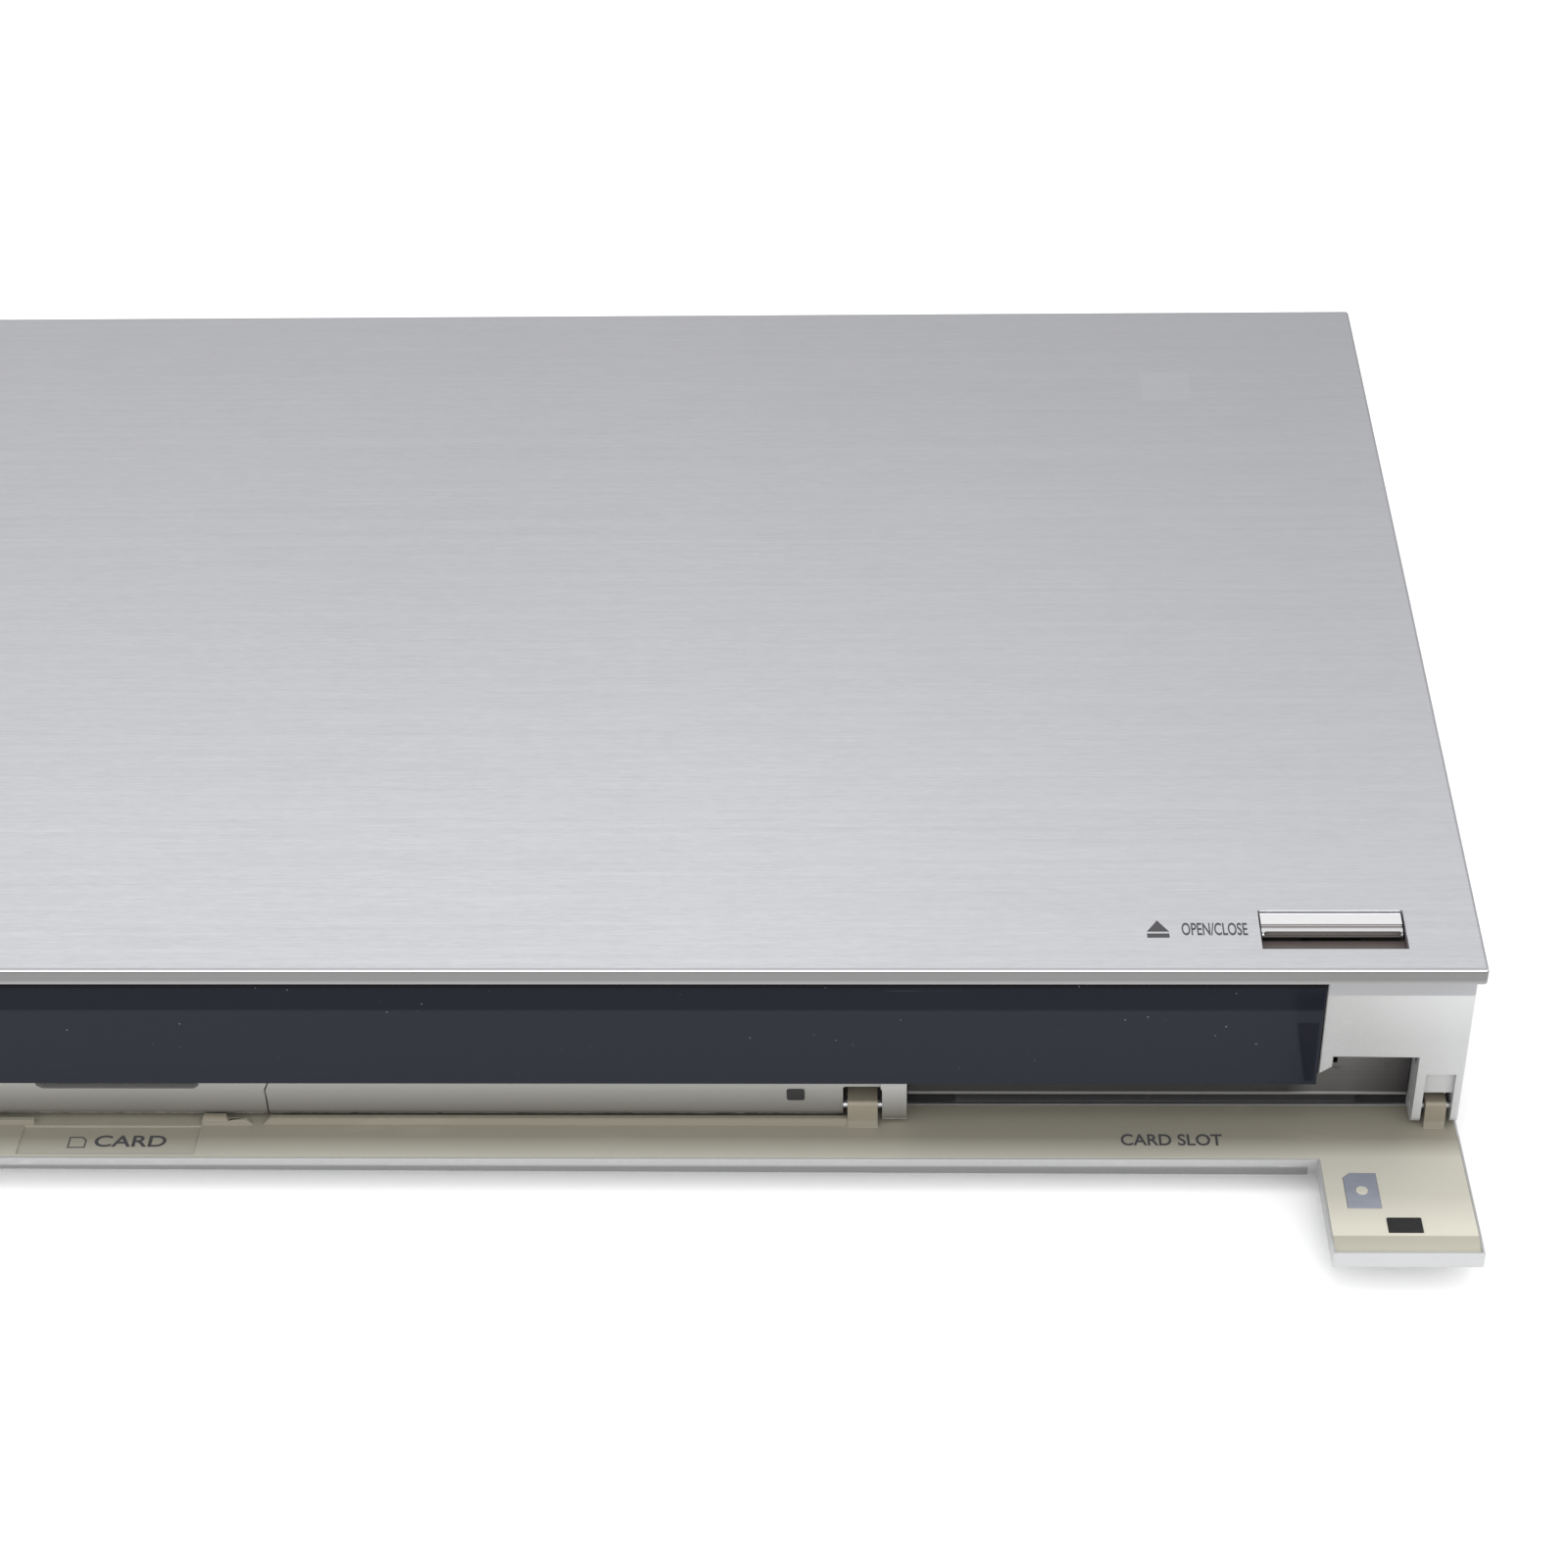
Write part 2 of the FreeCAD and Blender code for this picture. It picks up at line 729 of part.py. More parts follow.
def make_bottom_chassis():
    """Pan with low side flanges, a front flange behind the bars, and posts for what it carries."""
    body = new_body("bottom_chassis")
    flange_top = "floor_top + chassis_flange"
    pad(body, "XY", "foot_height", "floor_top",
        rectangle("0 - pan_right", "front_depth", "pan_right", "rear_inner"))
    for inner, outer in (("0 - pan_right", "chassis_sheet - pan_right"),
                         ("pan_right - chassis_sheet", "pan_right")):
        pad(body, "XY", "floor_top", flange_top, rectangle(inner, "front_depth + 2", outer, "rear_inner"))
    pad(body, "XY", "floor_top", flange_top,
        rectangle("0 - pan_right", "front_depth", "bay_left", "front_depth + chassis_sheet"))
    for across, along, top in post_places():
        pad(body, "XY", "floor_top", top, (across, along, "post_radius"))
    return finish(body, "bottom_chassis")


def post_places():
    """Where the posts of the pan stand and how high they reach."""
    posts = []
    for across in ("tray_x - drive_half + 14", "tray_x + drive_half - 14"):
        for along in ("drive_front + 8", "drive_rear - 14"):
            posts.append((across, along, "drive_low"))
    for across in ("main_left + 5", "main_right - 6"):
        for along in ("main_front + 6", "rear_inner - 8"):
            posts.append((across, along, "main_low"))
    for across in ("power_left + 6", "power_right - 6"):
        for along in ("power_front + 6", "power_rear - 6"):
            posts.append((across, along, "power_low"))
    return posts


def make_rear_panel():
    """Sheet across the back with the holes that the sockets, the fan and the air need."""
    body = new_body("rear_panel")
    pad(body, "XZ", "rear_inner", "rear_outer",
        rectangle("0 - pan_right", "foot_height", "pan_right", "roof_low - 0.1"))
    holes = []
    for across in antenna_columns():
        for up in ("antenna_low_z", "antenna_low_z + antenna_spacing"):
            holes.append((across, up, "antenna_radius + panel_hole_gap"))
    for across in jack_columns():
        holes.append((across, "jack_z", "jack_radius + panel_hole_gap"))
    holes.append(rectangle("video_x - video_width / 2 - panel_hole_gap", "main_top - panel_hole_gap",
                           "video_x + video_width / 2 + panel_hole_gap",
                           "main_top + video_height + panel_hole_gap"))
    holes.append(rectangle("network_x - network_width / 2 - panel_hole_gap", "main_top - panel_hole_gap",
                           "network_x + network_width / 2 + panel_hole_gap",
                           "main_top + network_height + panel_hole_gap"))
    holes.append(rectangle("inlet_x - inlet_width / 2 + 1.5", "inlet_z - inlet_height / 2 + 1.5",
                           "inlet_x + inlet_width / 2 - 1.5", "inlet_z + inlet_height / 2 - 1.5"))
    for number in range(5):
        middle = f"fan_x + {number - 2} * 4.6"
        reach = math.sqrt(1 - (0.4 * (number - 2)) ** 2)
        holes.append(rectangle(f"{middle} - 1.5", f"fan_middle_z - fan_bore * {reach:.3f}",
                               f"{middle} + 1.5", f"fan_middle_z + fan_bore * {reach:.3f}"))
    for number in range(int(SIZES["vent_count"])):
        left = f"0 - pan_right + 14 + vent_pitch * {number}"
        holes.append(rectangle(left, "side_vent_low", f"{left} + vent_width", "side_vent_low + vent_height"))
    pocket(body, "XZ", "rear_inner", "rear_outer", *holes)
    return finish(body, "rear_panel")


def make_feet():
    """Four round feet, each with a shallow hollow below."""
    feet = []
    for across in ("foot_side - panel_right", "panel_right - foot_side"):
        for along in ("foot_front", "cabinet_depth - foot_rear"):
            foot = rod("Z", across, along, "0", "foot_radius", "foot_height")
            hollow = rod("Z", across, along, "0", "foot_radius - 3", "1")
            feet.append(cut(foot, hollow))
    return finish(group(*feet), "feet")


def make_cover_screws():
    """Three pan-head screws that hold the cover's rear flange."""
    screws = []
    for number in (-1, 0, 1):
        across = f"screw_spacing * {number}"
        up = "lip_bottom - 2.4"
        head = rod("Y", across, "cabinet_depth", up, "screw_head_radius", "screw_head_height")
        slot = block(f"{across} - 2", "cabinet_depth + screw_head_height - 0.8", f"{up} - 0.35", "4",
                     "0.8", "0.7")
        cross = block(f"{across} - 0.35", "cabinet_depth + screw_head_height - 0.8", f"{up} - 2", "0.7",
                      "0.8", "4")
        screws.append(cut(head, slot, cross))
    return finish(group(*screws), "cover_screws")


# Front

def make_front_frame():
    """Carrier behind the window, with the tray opening, the display opening and its ledges."""
    body = new_body("front_frame")
    top = "roof_low - 0.2"
    pad(body, "XZ", "window_back", "frame_back",
        rectangle("0 - window_right", "frame_bottom", "window_right", top))
    pad(body, "XZ", "frame_back", "shield_y",
        rectangle("0 - window_right", "frame_bottom", "window_right", "frame_bottom + frame_ledge"))
    pad(body, "XZ", "frame_back", "stem_clear",
        rectangle("0 - window_right", f"{top} - frame_ledge", "window_right", top))
    pocket(body, "XZ", "window_back", "frame_back",
           rectangle("tray_x - tray_half - frame_tray_gap", "ledge_top - 0.3",
                     "tray_x + tray_half + frame_tray_gap", "tray_top + frame_tray_gap"),
           rectangle("display_x - display_width / 2 + 4", "display_low + 2",
                     "display_x + display_width / 2 - 4", "display_low + display_height - 2"))
    pocket(body, "XZ", "window_back", "shield_y",
           rectangle("memory_slot_x - memory_slot_width / 2", "frame_bottom - 1",
                     "memory_slot_x + memory_slot_width / 2", "window_bottom + 0.3"))
    return finish(body, "front_frame")


def make_display_window():
    """Smoked sheet across the front. It is low under the tray front and tall to the right of it."""
    body = new_body("display_window")
    pad(body, "XZ", "window_face", "window_back",
        [("0 - window_right", "window_bottom"), ("window_right", "window_bottom"),
         ("window_right", "window_top"), ("window_left", "window_top"),
         ("window_left", "tray_front_low - run_gap"), ("0 - window_right", "tray_front_low - run_gap")])
    return finish(body, "display_window")


def make_right_bezel():
    """End block at the right: face with the card cut-out, and the bracket of the last hinge arm."""
    body = new_body("right_bezel")
    cut_left = "bezel_left + cut_inset"
    pad(body, "XZ", "bezel_face", "bezel_back",
        [("bezel_left", "cut_foot"), (cut_left, "cut_step"), (cut_left, "cut_top"), ("bay_right", "cut_top"),
         ("bay_right", "bracket_top"), ("bezel_right", "bracket_top"),
         ("bezel_right", "bezel_top"), ("bezel_left", "bezel_top")])
    pad(body, "XZ", "bezel_back", "bezel_rear",
        rectangle("bezel_right - bezel_wall", "bracket_top", "bezel_right", "bezel_top"))
    for left, right in (("bay_right", "bay_right + inner_leg"), ("bezel_right - outer_leg", "bezel_right")):
        pad(body, "YZ", left, right,
            rectangle("bezel_face", "bracket_low", "bezel_rear", "bracket_top"))
    pad(body, "XZ", "bezel_face + bracket_recess", "bezel_rear",
        rectangle("bay_right + inner_leg", "arm_window_top", "bezel_right - outer_leg", "bracket_top"))
    front = measure("bezel_face")
    low = measure("bracket_low")
    round_edges(body, "X", "bracket_nose",
                lambda middle: abs(middle.y - front) < 0.01 and abs(middle.z - low) < 0.01)
    pocket(body, "YZ", "bay_right - 1", "bezel_right + 1", ("pivot_y", "pivot_z", "pin_radius + pin_fit"))
    return finish(body, "right_bezel")


def make_left_bezel():
    """End block at the left, whose face is in line with the closed flap."""
    body = new_body("left_bezel")
    left = "0 - bezel_right"
    right = "0 - bezel_left"
    low = "pivot_z - flap_tail"
    high = "lip_bottom - flap_gap"
    pad(body, "XZ", "face_closed", "stem_clear", rectangle(left, low, right, high))
    pocket(body, "XZ", "face_closed + bezel_wall", "stem_clear",
           rectangle(f"{left} + bezel_wall", f"{low} + bezel_wall", f"{right} - bezel_wall",
                     f"{high} - bezel_wall"))
    face = measure("face_closed")
    top = measure(high)
    round_edges(body, "X", "flap_corner",
                lambda middle: abs(middle.y - face) < 0.01 and abs(middle.z - top) < 0.01)
    return finish(body, "left_bezel")


def bar_profile():
    """Cross-section of the bars: the face leans back towards the hinge line."""
    return [("front_depth", "bar_bottom"), ("front_depth", "bar_top"), ("bar_face", "bar_top"),
            ("bar_low_face", "bar_bend"), ("bar_low_face", "bar_bottom")]


def smooth_bar(body):
    """Rounds the nose of the bar and blends the bend of its face."""
    face = measure("bar_low_face")
    low = measure("bar_bottom")
    bend = measure("bar_bend")
    round_edges(body, "X", "bar_nose", lambda middle: abs(middle.y - face) < 0.01
                and abs(middle.z - low) < 0.01)
    round_edges(body, "X", "bar_nose", lambda middle: abs(middle.y - face) < 0.01
                and abs(middle.z - bend) < 0.01)


def arm_notch(across):
    """Opening in a bar for one hinge arm."""
    half = "(arm_width / 2 + arm_gap)"
    return rectangle(f"{across} - {half}", "bar_bottom - 1", f"{across} + {half}", "notch_top")


def drill_for_pin(body, across):
    """Bore that takes one hinge pin, on both sides of its notch."""
    reach = "(arm_width / 2 + arm_gap + pin_hold)"
    pocket(body, "YZ", f"{across} - {reach}", f"{across} + {reach}",
           ("pivot_y", "pivot_z", "pin_radius + pin_fit"))


def make_trim_bar():
    """Bar right of the seam, with the middle hinge notch and the ear beside it."""
    body = new_body("trim_bar")
    pad(body, "YZ", "seam_x + seam_gap / 2", "bar_end_x", bar_profile())
    smooth_bar(body)
    ear_left = "middle_arm_x + arm_width / 2 + arm_gap"
    pad(body, "YZ", ear_left, "bar_end_x",
        rectangle("ear_face", "bracket_low", "front_depth", "bar_top"))
    front = measure("ear_face")
    low = measure("bracket_low")
    round_edges(body, "X", "bracket_nose",
                lambda middle: abs(middle.y - front) < 0.01 and abs(middle.z - low) < 0.01)
    pocket(body, "XZ", "ear_face - 1", "front_depth", arm_notch("middle_arm_x"))
    drill_for_pin(body, "middle_arm_x")
    return finish(body, "trim_bar")


def make_slot_bar():
    """Bar left of the seam, with the memory card slot and two hinge notches."""
    body = new_body("slot_bar")
    pad(body, "YZ", "seam_gap - bezel_left", "seam_x - seam_gap / 2", bar_profile())
    smooth_bar(body)
    pocket(body, "XZ", "bar_face - 1", "front_depth", arm_notch("inner_arm_x"), arm_notch("outer_arm_x"))
    pocket(body, "XZ", "bar_face - 1", "front_depth",
           rectangle("memory_slot_x - memory_slot_width / 2", "memory_slot_floor",
                     "memory_slot_x + memory_slot_width / 2", "window_bottom"))
    drill_for_pin(body, "inner_arm_x")
    drill_for_pin(body, "outer_arm_x")
    return finish(body, "slot_bar")


def make_hinge_pins():
    """One pin through each hinge arm, held at both ends."""
    pins = []
    reach = "(arm_width / 2 + arm_gap + pin_hold - pin_fit)"
    for across in ("middle_arm_x", "inner_arm_x", "outer_arm_x"):
        pins.append(rod("X", f"{across} - {reach}", "pivot_y", "pivot_z", "pin_radius", f"2 * {reach}"))
    pins.append(rod("X", "bay_right + pin_fit", "pivot_y", "pivot_z", "pin_radius",
                    "bracket_width - 2 * pin_fit"))
    return finish(group(*pins), "hinge_pins")


def make_card_shield():
    """Sheet behind the card bay, with a rolled hem above the card slot."""
    left = "bay_left + seam_gap"
    width = "bay_right - bay_left - 2 * seam_gap"
    sheet = block(left, "shield_y", "shield_bottom", width, "shield_sheet", "shield_top - shield_bottom")
    hem = rod("X", left, "shield_y + hem_radius", "shield_bottom", "hem_radius", width)
    window = block("bezel_left + cut_inset + 0.4", "shield_y - 1", "cut_top - 5.6", "1.1", "3", "1.1")
    return finish(cut(fuse(sheet, hem), window), "card_shield")


def make_flap_magnet():
    """Magnet behind the bezel that holds the catch plate."""
    middle = "bezel_left + catch_left + catch_width / 2"
    low = "pivot_z + catch_low + catch_height / 2 - magnet_height / 2"
    return finish(block(f"{middle} - magnet_width / 2", "bezel_back", low,
                        "magnet_width", "magnet_depth", "magnet_height"), "flap_magnet")


# Flap

def flap_outline(margin):
    """L-shaped outline of the closed flap, drawn in by a margin."""
    return [(f"flap_left + {margin}", f"{margin} - flap_tail"),
            (f"flap_right - {margin}", f"{margin} - flap_tail"),
            (f"flap_right - {margin}", f"tongue_top - {margin}"),
            (f"bezel_left + {margin}", f"tongue_top - {margin}"),
            (f"bezel_left + {margin}", f"strip_height - {margin}"),
            (f"flap_left + {margin}", f"strip_height - {margin}")]


def make_flap_panel():
    """Outer skin of the flap: a strip along the front with a tall tongue at its right end."""
    body = new_body("flap_panel")
    pad(body, "XZ", "flap_outer", "flap_inner", flap_outline("0"))
    pocket(body, "XZ", "liner_back", "flap_inner", flap_outline("flap_rim"))
    outer = measure("flap_outer")
    edge = measure("strip_height")
    round_edges(body, "X", "strip_chamfer",
                lambda middle: abs(middle.y - outer) < 0.01 and abs(middle.z - edge) < 0.01, "Chamfer")
    ends = (measure("tongue_top"), -measure("flap_tail"))
    round_edges(body, "X", "flap_corner",
                lambda middle: abs(middle.y - outer) < 0.01
                and min(abs(middle.z - end) for end in ends) < 0.01)
    return finish_on_flap(body, "flap_panel")


def raise_rib(body, start, length, height, ramp_start, ramp_end):
    """A low rib on the liner, with a ramp at either end."""
    end = f"{start} + {length}"
    top = f"flap_inner + {height}"
    pad(body, "XY", "rib_low", "rib_low + rib_thickness",
        [(start, "liner_back"), (end, "liner_back"), (end, "flap_inner"),
         (f"{end} - {ramp_end}", top), (f"{start} + {ramp_start}", top), (start, "flap_inner")])


def make_flap_liner():
    """Inner moulding of the flap with its hinge arms, ribs, tab and label recess."""
    body = new_body("flap_liner")
    pad(body, "XZ", "liner_back", "flap_inner", flap_outline("flap_rim"))
    arms = [("middle_arm_x", "arm_width"), ("inner_arm_x", "arm_width"), ("outer_arm_x", "arm_width"),
            ("end_arm_x", "end_arm_width")]
    for across, width in arms:
        pad(body, "YZ", f"{across} - {width} / 2", f"{across} + {width} / 2",
            rectangle("liner_back", "0 - knuckle_half", "knuckle_back", "knuckle_half"))
    back = measure("knuckle_back")
    round_edges(body, "X", "knuckle_round", lambda middle: abs(middle.y - back) < 0.01)
    raise_rib(body, "rib_start_x", "middle_arm_x - arm_width / 2 - rib_start_x", "rib_height",
              "rib_height", "0.01")
    raise_rib(body, "outer_arm_x + arm_width / 2 + 2", "inner_arm_x - outer_arm_x - arm_width - 4",
              "rib_height",
              "rib_height", "rib_height")
    raise_rib(body, "tab_x", "tab_width + ridge_length", "ridge_height", "0.01", "ridge_height")
    raise_rib(body, "tab_x", "tab_width", "tab_height", "0.3", "0.5")
    raise_rib(body, "inner_arm_x + 8", "label_left_x + 1.5 - inner_arm_x - 8", "ridge_height",
              "ridge_height", "0.01")
    pocket(body, "YZ", "flap_left", "flap_right", ("0", "0", "pin_radius + pin_fit"))
    pocket(body, "XZ", "flap_inner - label_depth", "flap_inner",
           rectangle("label_left_x", "label_low", "label_right_x", "label_high"))
    pocket(body, "XZ", "flap_inner - catch_sheet", "flap_inner", catch_outline("0"),
           cushion_outline("0"))
    end = "tongue_top - flap_rim"
    pocket(body, "YZ", "bezel_left", "flap_right",
           [("flap_inner + 0.1", f"{end} - tongue_bevel"), ("flap_inner + 0.1", f"{end} + 0.1"),
            ("flap_inner - tongue_bevel_depth", f"{end} + 0.1"), ("flap_inner", f"{end} - tongue_bevel")])
    pad(body, "XZ", "flap_inner - catch_sheet", "flap_inner + stake_height",
        ("bezel_left + catch_left + catch_width / 2", "catch_low + catch_height / 2", "stake_radius"))
    return finish_on_flap(body, "flap_liner")


def catch_outline(margin):
    """Outline of the catch plate, with one clipped corner."""
    left = f"bezel_left + catch_left + {margin}"
    right = f"bezel_left + catch_left + catch_width - {margin}"
    return [(f"{left} + catch_clip", f"catch_low + {margin}"), (right, f"catch_low + {margin}"),
            (right, f"catch_low + catch_height - {margin}"), (left, f"catch_low + catch_height - {margin}"),
            (left, f"catch_low + {margin} + catch_clip")]


def cushion_outline(margin):
    return rectangle(f"bezel_left + cushion_left + {margin}", f"cushion_low + {margin}",
                     f"bezel_left + cushion_left + cushion_width - {margin}",
                     f"cushion_low + cushion_height - {margin}")


def make_catch_plate():
    """Steel plate let into the tongue, held by a stake of the liner."""
    body = new_body("catch_plate")
    middle = ("bezel_left + catch_left + catch_width / 2", "catch_low + catch_height / 2",
              "stake_radius + 0.02")
    pad(body, "XZ", "flap_inner - catch_sheet", "flap_inner + 0.05", catch_outline("0.05"))
    pocket(body, "XZ", "flap_inner - catch_sheet", "flap_inner + 0.05", middle)
    return finish_on_flap(body, "catch_plate")


def make_cushion_pad():
    """Soft pad on the tongue that meets the bezel when the flap is shut."""
    body = new_body("cushion_pad")
    pad(body, "XZ", "flap_inner - catch_sheet", "flap_inner + cushion_depth", cushion_outline("0.05"))
    face = measure("flap_inner + cushion_depth")
    round_edges(body, "X", "cushion_depth * 0.5", lambda middle: abs(middle.y - face) < 0.01)
    return finish_on_flap(body, "cushion_pad")


# Keys

def make_key(label, side):
    """Key cap with a rounded nose, and the stem that reaches its switch."""
    body = new_body(label)
    middle = f"({side}key_middle)"
    pad(body, "XY", "key_low", "key_top",
        rectangle(f"{middle} - key_width / 2 + run_gap", "cap_front",
                  f"{middle} + key_width / 2 - run_gap", "cap_rear"))
    front = measure("cap_front")
    top = measure("key_top")
    round_edges(body, "X", "key_nose", lambda point: abs(point.y - front) < 0.01
                and abs(point.z - top) < 0.01)
    pad(body, "XY", "stem_low", "key_low",
        rectangle(f"{middle} - stem_width / 2", "stem_middle - stem_depth / 2",
                  f"{middle} + stem_width / 2", "stem_middle + stem_depth / 2"))
    return finish(body, label)


def make_key_wells():
    """Shallow cup under each opening, with a hole for the stem."""
    wells = []
    for side in ("0 + ", "0 - "):
        middle = f"({side}key_middle)"
        left = f"{middle} - key_width / 2 - well_border"
        cup = block(left, "key_front - well_border", "lip_bottom",
                    "key_width + 2 * well_border", "key_depth + 2 * well_border", "panel_under - lip_bottom")
        hollow = block(f"{middle} - key_width / 2", "key_front", "lip_bottom + well_floor",
                       "key_width", "key_depth", "panel_under - lip_bottom")
        hole = block(f"{middle} - stem_width / 2 - stem_gap", "stem_middle - stem_depth / 2 - stem_gap",
                     "roof_low",
                     "stem_width + 2 * stem_gap", "stem_depth + 2 * stem_gap", "3")
        wells.append(cut(cup, hollow, hole))
    return finish(group(*wells), "key_wells")


def make_key_boards():
    """Small board below each key, with its switch, let in behind the end block."""
    boards = []
    for side, wall in (("0 + ", "bezel_right - bezel_wall"), ("0 - ", "0 - bezel_right + bezel_wall")):
        middle = f"({side}key_middle)"
        left = f"{middle} - switch_width" if side == "0 + " else wall
        width = f"{wall} - ({left})" if side == "0 + " else f"{middle} + switch_width - ({wall})"
        board = block(left, "key_board_front", "key_board_top - board_sheet", width, "key_board_depth",
                      "board_sheet")
        switch = block(f"{middle} - switch_width / 2", "key_board_front", "key_board_top",
                       "switch_width", "2 * (stem_middle - key_board_front)", "switch_height")
        boards.append(fuse(board, switch))
    return finish(group(*boards), "key_boards")


# Disc tray and loading drive

def make_tray_front():
    """Dark cover on the front of the tray, in line with the window."""
    body = new_body("tray_front")
    half = "tray_front_width / 2"
    pad(body, "XZ", "window_face", "window_face + tray_front_wall",
        rectangle(f"tray_x - {half}", "tray_front_low", f"tray_x + {half}", "lip_bottom - run_gap"))
    return finish(body, "tray_front")


def make_disc_tray():
    """Tray with two disc seats, the slot for spindle and pickup, and the groove of its rack."""
    body = new_body("disc_tray")
    pad(body, "XY", "tray_low", "tray_top",
        rectangle("tray_x - tray_half", "window_face + tray_front_wall", "tray_x + tray_half", "tray_rear"))
    rear = measure("tray_rear")
    round_edges(body, "Z", "3", lambda middle: abs(middle.y - rear) < 0.01)
    pocket(body, "XY", "seat_floor", "tray_top", ("tray_x", "spindle_y", "disc_seat_radius"))
    pocket(body, "XY", "seat_floor - small_seat_depth", "seat_floor",
           ("tray_x", "spindle_y", "small_seat_radius"))
    pocket(body, "XY", "tray_low", "tray_top",
           rectangle("tray_x - tray_slot_half", "tray_slot_front", "tray_x + tray_slot_half",
                     "tray_slot_rear"))
    pocket(body, "XY", "tray_low", "tray_low + groove_height",
           rectangle("gear_x - pitch_radius - tooth_module * 2", "gear_y - pitch_radius - tooth_module * 2",
                     "tray_x + rack_x + rack_back", "tray_rear"))
    return finish(body, "disc_tray")


def rack_outline():
    """Rack teeth that point to the middle of the drive, with a tooth level with the pinion at rest."""
    module = measure("tooth_module")
    pitch = math.pi * module
    height = 0.8 * module
    half_tip = pitch / 4 - 0.06 - height * math.tan(math.radians(20))
    half_root = pitch / 4 - 0.06 + module * math.tan(math.radians(20))
    line = measure("tray_x + rack_x")
    front = measure("gear_y - pitch_radius - tooth_module * 2")
    rear = measure("tray_rear")
    middle = measure("gear_y")
    before = int((middle - front - pitch / 2) / pitch)
    after = int((rear - middle - pitch / 2) / pitch)
    points = [(line + measure("rack_back"), front), (line + module, front)]
    for number in range(-before, after + 1):
        along = middle + number * pitch
        points += [(line + module, along - half_root), (line - height, along - half_tip),
                   (line - height, along + half_tip), (line + module, along + half_root)]
    points += [(line + module, rear), (line + measure("rack_back"), rear)]
    return points


def extruded(points, low, height, across=0.0, along=0.0):
    """A prism on a closed outline."""
    corners = [Vector(x + across, y + along, low) for x, y in points]
    wire = Part.makePolygon(corners + corners[:1])
    return Part.Face(wire).extrude(Vector(0, 0, height))


def make_tray_rack():
    """Toothed strip in the groove under the tray."""
    shape = extruded(rack_outline(), measure("tray_low"), measure("rack_height"))
    return finish(drawn(shape), "tray_rack")


def involute_point(base, radius, turn, side):
    """Point of an involute flank at a radius, measured from the middle of its tooth."""
    angle = math.sqrt(max((radius / base) ** 2 - 1, 0)) - math.acos(min(base / radius, 1))
    return radius * math.cos(turn + side * angle), radius * math.sin(turn + side * angle)


def pinion_outline():
    """Pinion with involute flanks, turned so that a gap faces the rack at rest."""
    module = measure("tooth_module")
    teeth = int(SIZES["pinion_teeth"])
    pitch_radius = module * teeth / 2
    base = pitch_radius * math.cos(math.radians(20))
    root = pitch_radius - module
    tip = pitch_radius + 0.8 * module
    at_pitch = math.tan(math.radians(20)) - math.radians(20)
    half = math.pi / (2 * teeth) - 0.06 / pitch_radius + at_pitch
    radii = [base, (base + pitch_radius) / 2, pitch_radius, (pitch_radius + tip) / 2, tip]
    points = []
    for number in range(teeth):
        middle = 2 * math.pi * (number + 0.5) / teeth
        points.append((root * math.cos(middle - half), root * math.sin(middle - half)))
        points += [involute_point(base, radius, middle - half, 1) for radius in radii]
        points += [involute_point(base, radius, middle + half, -1) for radius in reversed(radii)]
        points.append((root * math.cos(middle + half), root * math.sin(middle + half)))
    return points


def make_loading_gear():
    """Pinion that drives the rack, on one piece with the belt pulley below it."""
    across = measure("gear_x")
    along = measure("gear_y")
    belt_top = measure("belt_top + run_gap")
    rim = measure("pulley_radius + belt_thickness + pulley_rim")
    low = measure("shelf_top + run_gap")
    middle = Vector(across, along, low)
    pulley = Part.makeCylinder(rim, measure("belt_low - run_gap") - low, middle)
    waist = Part.makeCylinder(measure("pulley_radius"), belt_top - low, middle)
    upper = Part.makeCylinder(rim, 0.8, Vector(across, along, belt_top))
    pinion = extruded(pinion_outline(), belt_top, measure("gear_top") - belt_top, across, along)
    bore = Part.makeCylinder(measure("gear_bore"), 20, middle - Vector(0, 0, 5))
    shape = pulley.fuse([waist, upper, pinion]).removeSplitter().cut(bore)
    return finish(drawn(shape), "loading_gear")


def make_motor_pulley():
    """Small pulley on the loading motor's shaft."""
    low = "shelf_top + run_gap"
    wheel = rod("Z", "tray_x + motor_x", "motor_y", low, "motor_pulley_radius", f"belt_top + 1 - ({low})")
    rim = rod("Z", "tray_x + motor_x", "motor_y", "belt_top + run_gap", "motor_pulley_radius + 1.5", "0.7")
    bore = rod("Z", "tray_x + motor_x", "motor_y", "shelf_low", "0.8", "2.6")
    return finish(cut(fuse(wheel, rim), bore), "motor_pulley")


def make_loading_motor():
    """Flat motor under the shelf, with its shaft through it."""
    can = rod("Z", "tray_x + motor_x", "motor_y", "shelf_low - motor_height", "motor_radius", "motor_height")
    shaft = rod("Z", "tray_x + motor_x", "motor_y", "shelf_low - 0.5", "0.75", "2.7")
    return finish(fuse(can, shaft), "loading_motor")


def belt_loop(near, near_radius, far, far_radius, height):
    """Solid loop round two wheels, held apart by their outer tangents."""
    line = far - near
    turn = math.atan2(line.y, line.x)
    lean = math.acos((near_radius - far_radius) / line.Length)
    ends = []
    for side in (1, -1):
        normal = Vector(math.cos(turn + side * lean), math.sin(turn + side * lean), 0)
        ends.append((near + normal * near_radius, far + normal * far_radius))
    forward = line.normalize()
    near_arc = Part.Arc(ends[1][0], near - forward * near_radius, ends[0][0]).toShape()
    far_arc = Part.Arc(ends[0][1], far + forward * far_radius, ends[1][1]).toShape()
    upper = Part.LineSegment(ends[0][0], ends[0][1]).toShape()
    lower = Part.LineSegment(ends[1][1], ends[1][0]).toShape()
    wire = Part.Wire([near_arc, upper, far_arc, lower])
    return Part.Face(wire).extrude(Vector(0, 0, height))


